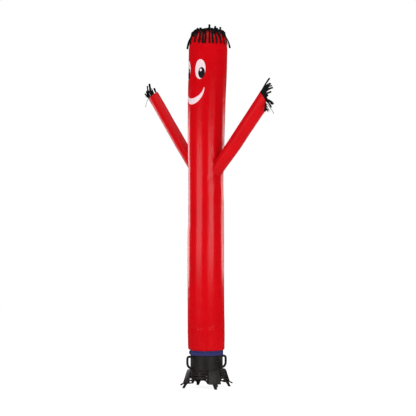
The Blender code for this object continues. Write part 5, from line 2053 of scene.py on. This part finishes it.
# ---------------------------------------------------------------- operators: stage

Light = namedtuple("Light", "name heading distance height aim wide tall power")
LIGHTS = (
    Light("tall_left", -84.0, 4.6, 1.80, 1.80, 2.7, 1.5, 62.0),
    Light("tall_right", -8.5, 4.6, 1.80, 1.80, 2.6, 1.5, 68.0),
    Light("edge_left", 181.0, 4.6, 1.90, 1.90, 2.2, 2.2, 56.0),
    Light("edge_right", 92.0, 4.6, 1.95, 1.95, 2.6, 2.0, 45.0),
    Light("overhead", 0.0, 0.01, 6.4, 0.0, 9.0, 9.0, 290.0),
)


class DANCER_OT_stage(DancerPiece, bpy.types.Operator):
    """Make the pale floor, the soft lights and the camera"""

    bl_idname = "dancer.stage"
    bl_label = "Stage"

    def make(self, scene):
        ask = scene.dancer_stage
        away = heading(math.degrees(ask.camera_heading))
        aside = heading(math.degrees(ask.camera_heading) + 90.0)
        lens = bpy.data.cameras.new("camera")
        lens.lens = ask.lens
        lens.sensor_width = CAMERA_SENSOR
        camera = new_object("camera", lens)
        stand = away * ask.camera_distance + aside * CAMERA_ASIDE
        camera.location = stand + Vector((0, 0, ask.camera_height))
        tilt = math.pi / 2 + math.radians(CAMERA_TILT)
        camera.rotation_euler = (tilt, 0.0, ask.camera_heading + math.pi / 2)
        scene.camera = camera

        work = bmesh.new()
        bmesh.ops.create_grid(work, x_segments=8, y_segments=8, size=14.0)
        floor = object_from("studio_floor", work)
        settle(floor, Matrix.Translation((0, 0, -0.0005)))
        made, graph, shader, given = new_material(
            "pale floor", Roughness=0.9, Specular_IOR_Level=0.0, Emission_Strength=0.93
        )
        path = graph.add("ShaderNodeLightPath").outputs
        # the glow leaves a faint shadow round the feet and meets the white backdrop far off
        glow = graph.ramp(graph.vector("LENGTH", given["Object"]), 1.5, 5.0, 0.955, 1.0)
        graph.join(graph.mix(path["Is Camera Ray"], (0, 0, 0, 1), glow), shader.inputs["Emission Color"])
        cloud = graph.noise(given["Object"], 1.5, 3.0)
        patches = graph.mix(cloud, (0.93, 0.93, 0.93, 1), (0.95, 0.95, 0.95, 1))
        mirrored = graph.mix(path["Is Glossy Ray"], patches, (0.03, 0.03, 0.03, 1))
        # darker for the eye, so that the glow brings it to white and no further
        seen = graph.mix(path["Is Camera Ray"], mirrored, (0.2, 0.2, 0.2, 1))
        graph.join(seen, shader.inputs["Base Color"])
        floor.data.materials.append(made)

        for row in LIGHTS:
            data = bpy.data.lights.new(row.name, "AREA")
            data.shape = "RECTANGLE"
            data.size = row.wide
            data.size_y = row.tall
            data.energy = row.power
            lamp = new_object(row.name, data)
            lamp.location = heading(row.heading) * row.distance + Vector((0, 0, row.height))
            aim = Vector((0, 0, row.aim)) - lamp.location
            lamp.rotation_euler = aim.to_track_quat("-Z", "Y").to_euler()

        # a white backdrop for the eye, and a softer light than that for the cloth
        world = bpy.data.worlds.new("white studio")
        world.use_nodes = True
        graph = Graph(world.node_tree)
        seen = world.node_tree.nodes["Background"]
        seen.inputs["Color"].default_value = (1, 1, 1, 1)
        path = graph.add("ShaderNodeLightPath").outputs
        softness = graph.math("MULTIPLY", ask.ambient, graph.math("SUBTRACT", 1.0, path["Is Glossy Ray"]))
        soft = graph.add("ShaderNodeBackground", {"Color": (1, 1, 1, 1), "Strength": softness})
        direct = path["Is Camera Ray"]
        both = graph.add("ShaderNodeMixShader", {0: direct, 1: soft.outputs[0], 2: seen.outputs[0]})
        graph.join(both.outputs[0], world.node_tree.nodes["World Output"].inputs["Surface"])
        scene.world = world
        scene.view_settings.view_transform = "Standard"


# ---------------------------------------------------------------- the add-on

OPERATORS = (
    DANCER_OT_stage,
    DANCER_OT_body,
    DANCER_OT_arms,
    DANCER_OT_hair,
    DANCER_OT_hands,
    DANCER_OT_strap,
    DANCER_OT_drum,
    DANCER_OT_base,
    DANCER_OT_guard,
    DANCER_OT_feet,
    DANCER_OT_handles,
)


class DANCER_PT_parts(bpy.types.Panel):
    """The dancer's pieces and settings"""

    bl_label = "Air Dancer"
    bl_idname = "DANCER_PT_parts"
    bl_space_type = "VIEW_3D"
    bl_region_type = "UI"
    bl_category = "Air Dancer"

    def draw(self, context):
        for name, group in SETTINGS.items():
            box = self.layout.box()
            for key in group.__annotations__:
                box.prop(getattr(context.scene, name), key)
        for operator in OPERATORS:
            self.layout.operator(operator.bl_idname)


def register():
    for name, group in SETTINGS.items():
        bpy.utils.register_class(group)
        setattr(bpy.types.Scene, name, PointerProperty(type=group))
    for item in (*OPERATORS, DANCER_PT_parts):
        bpy.utils.register_class(item)


def unregister():
    for item in reversed((*OPERATORS, DANCER_PT_parts)):
        bpy.utils.unregister_class(item)
    for name, group in SETTINGS.items():
        delattr(bpy.types.Scene, name)
        bpy.utils.unregister_class(group)


def main():
    register()
    for operator in OPERATORS:
        family, name = operator.bl_idname.split(".")
        getattr(getattr(bpy.ops, family), name)()
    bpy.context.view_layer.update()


if __name__ == "__main__":
    main()
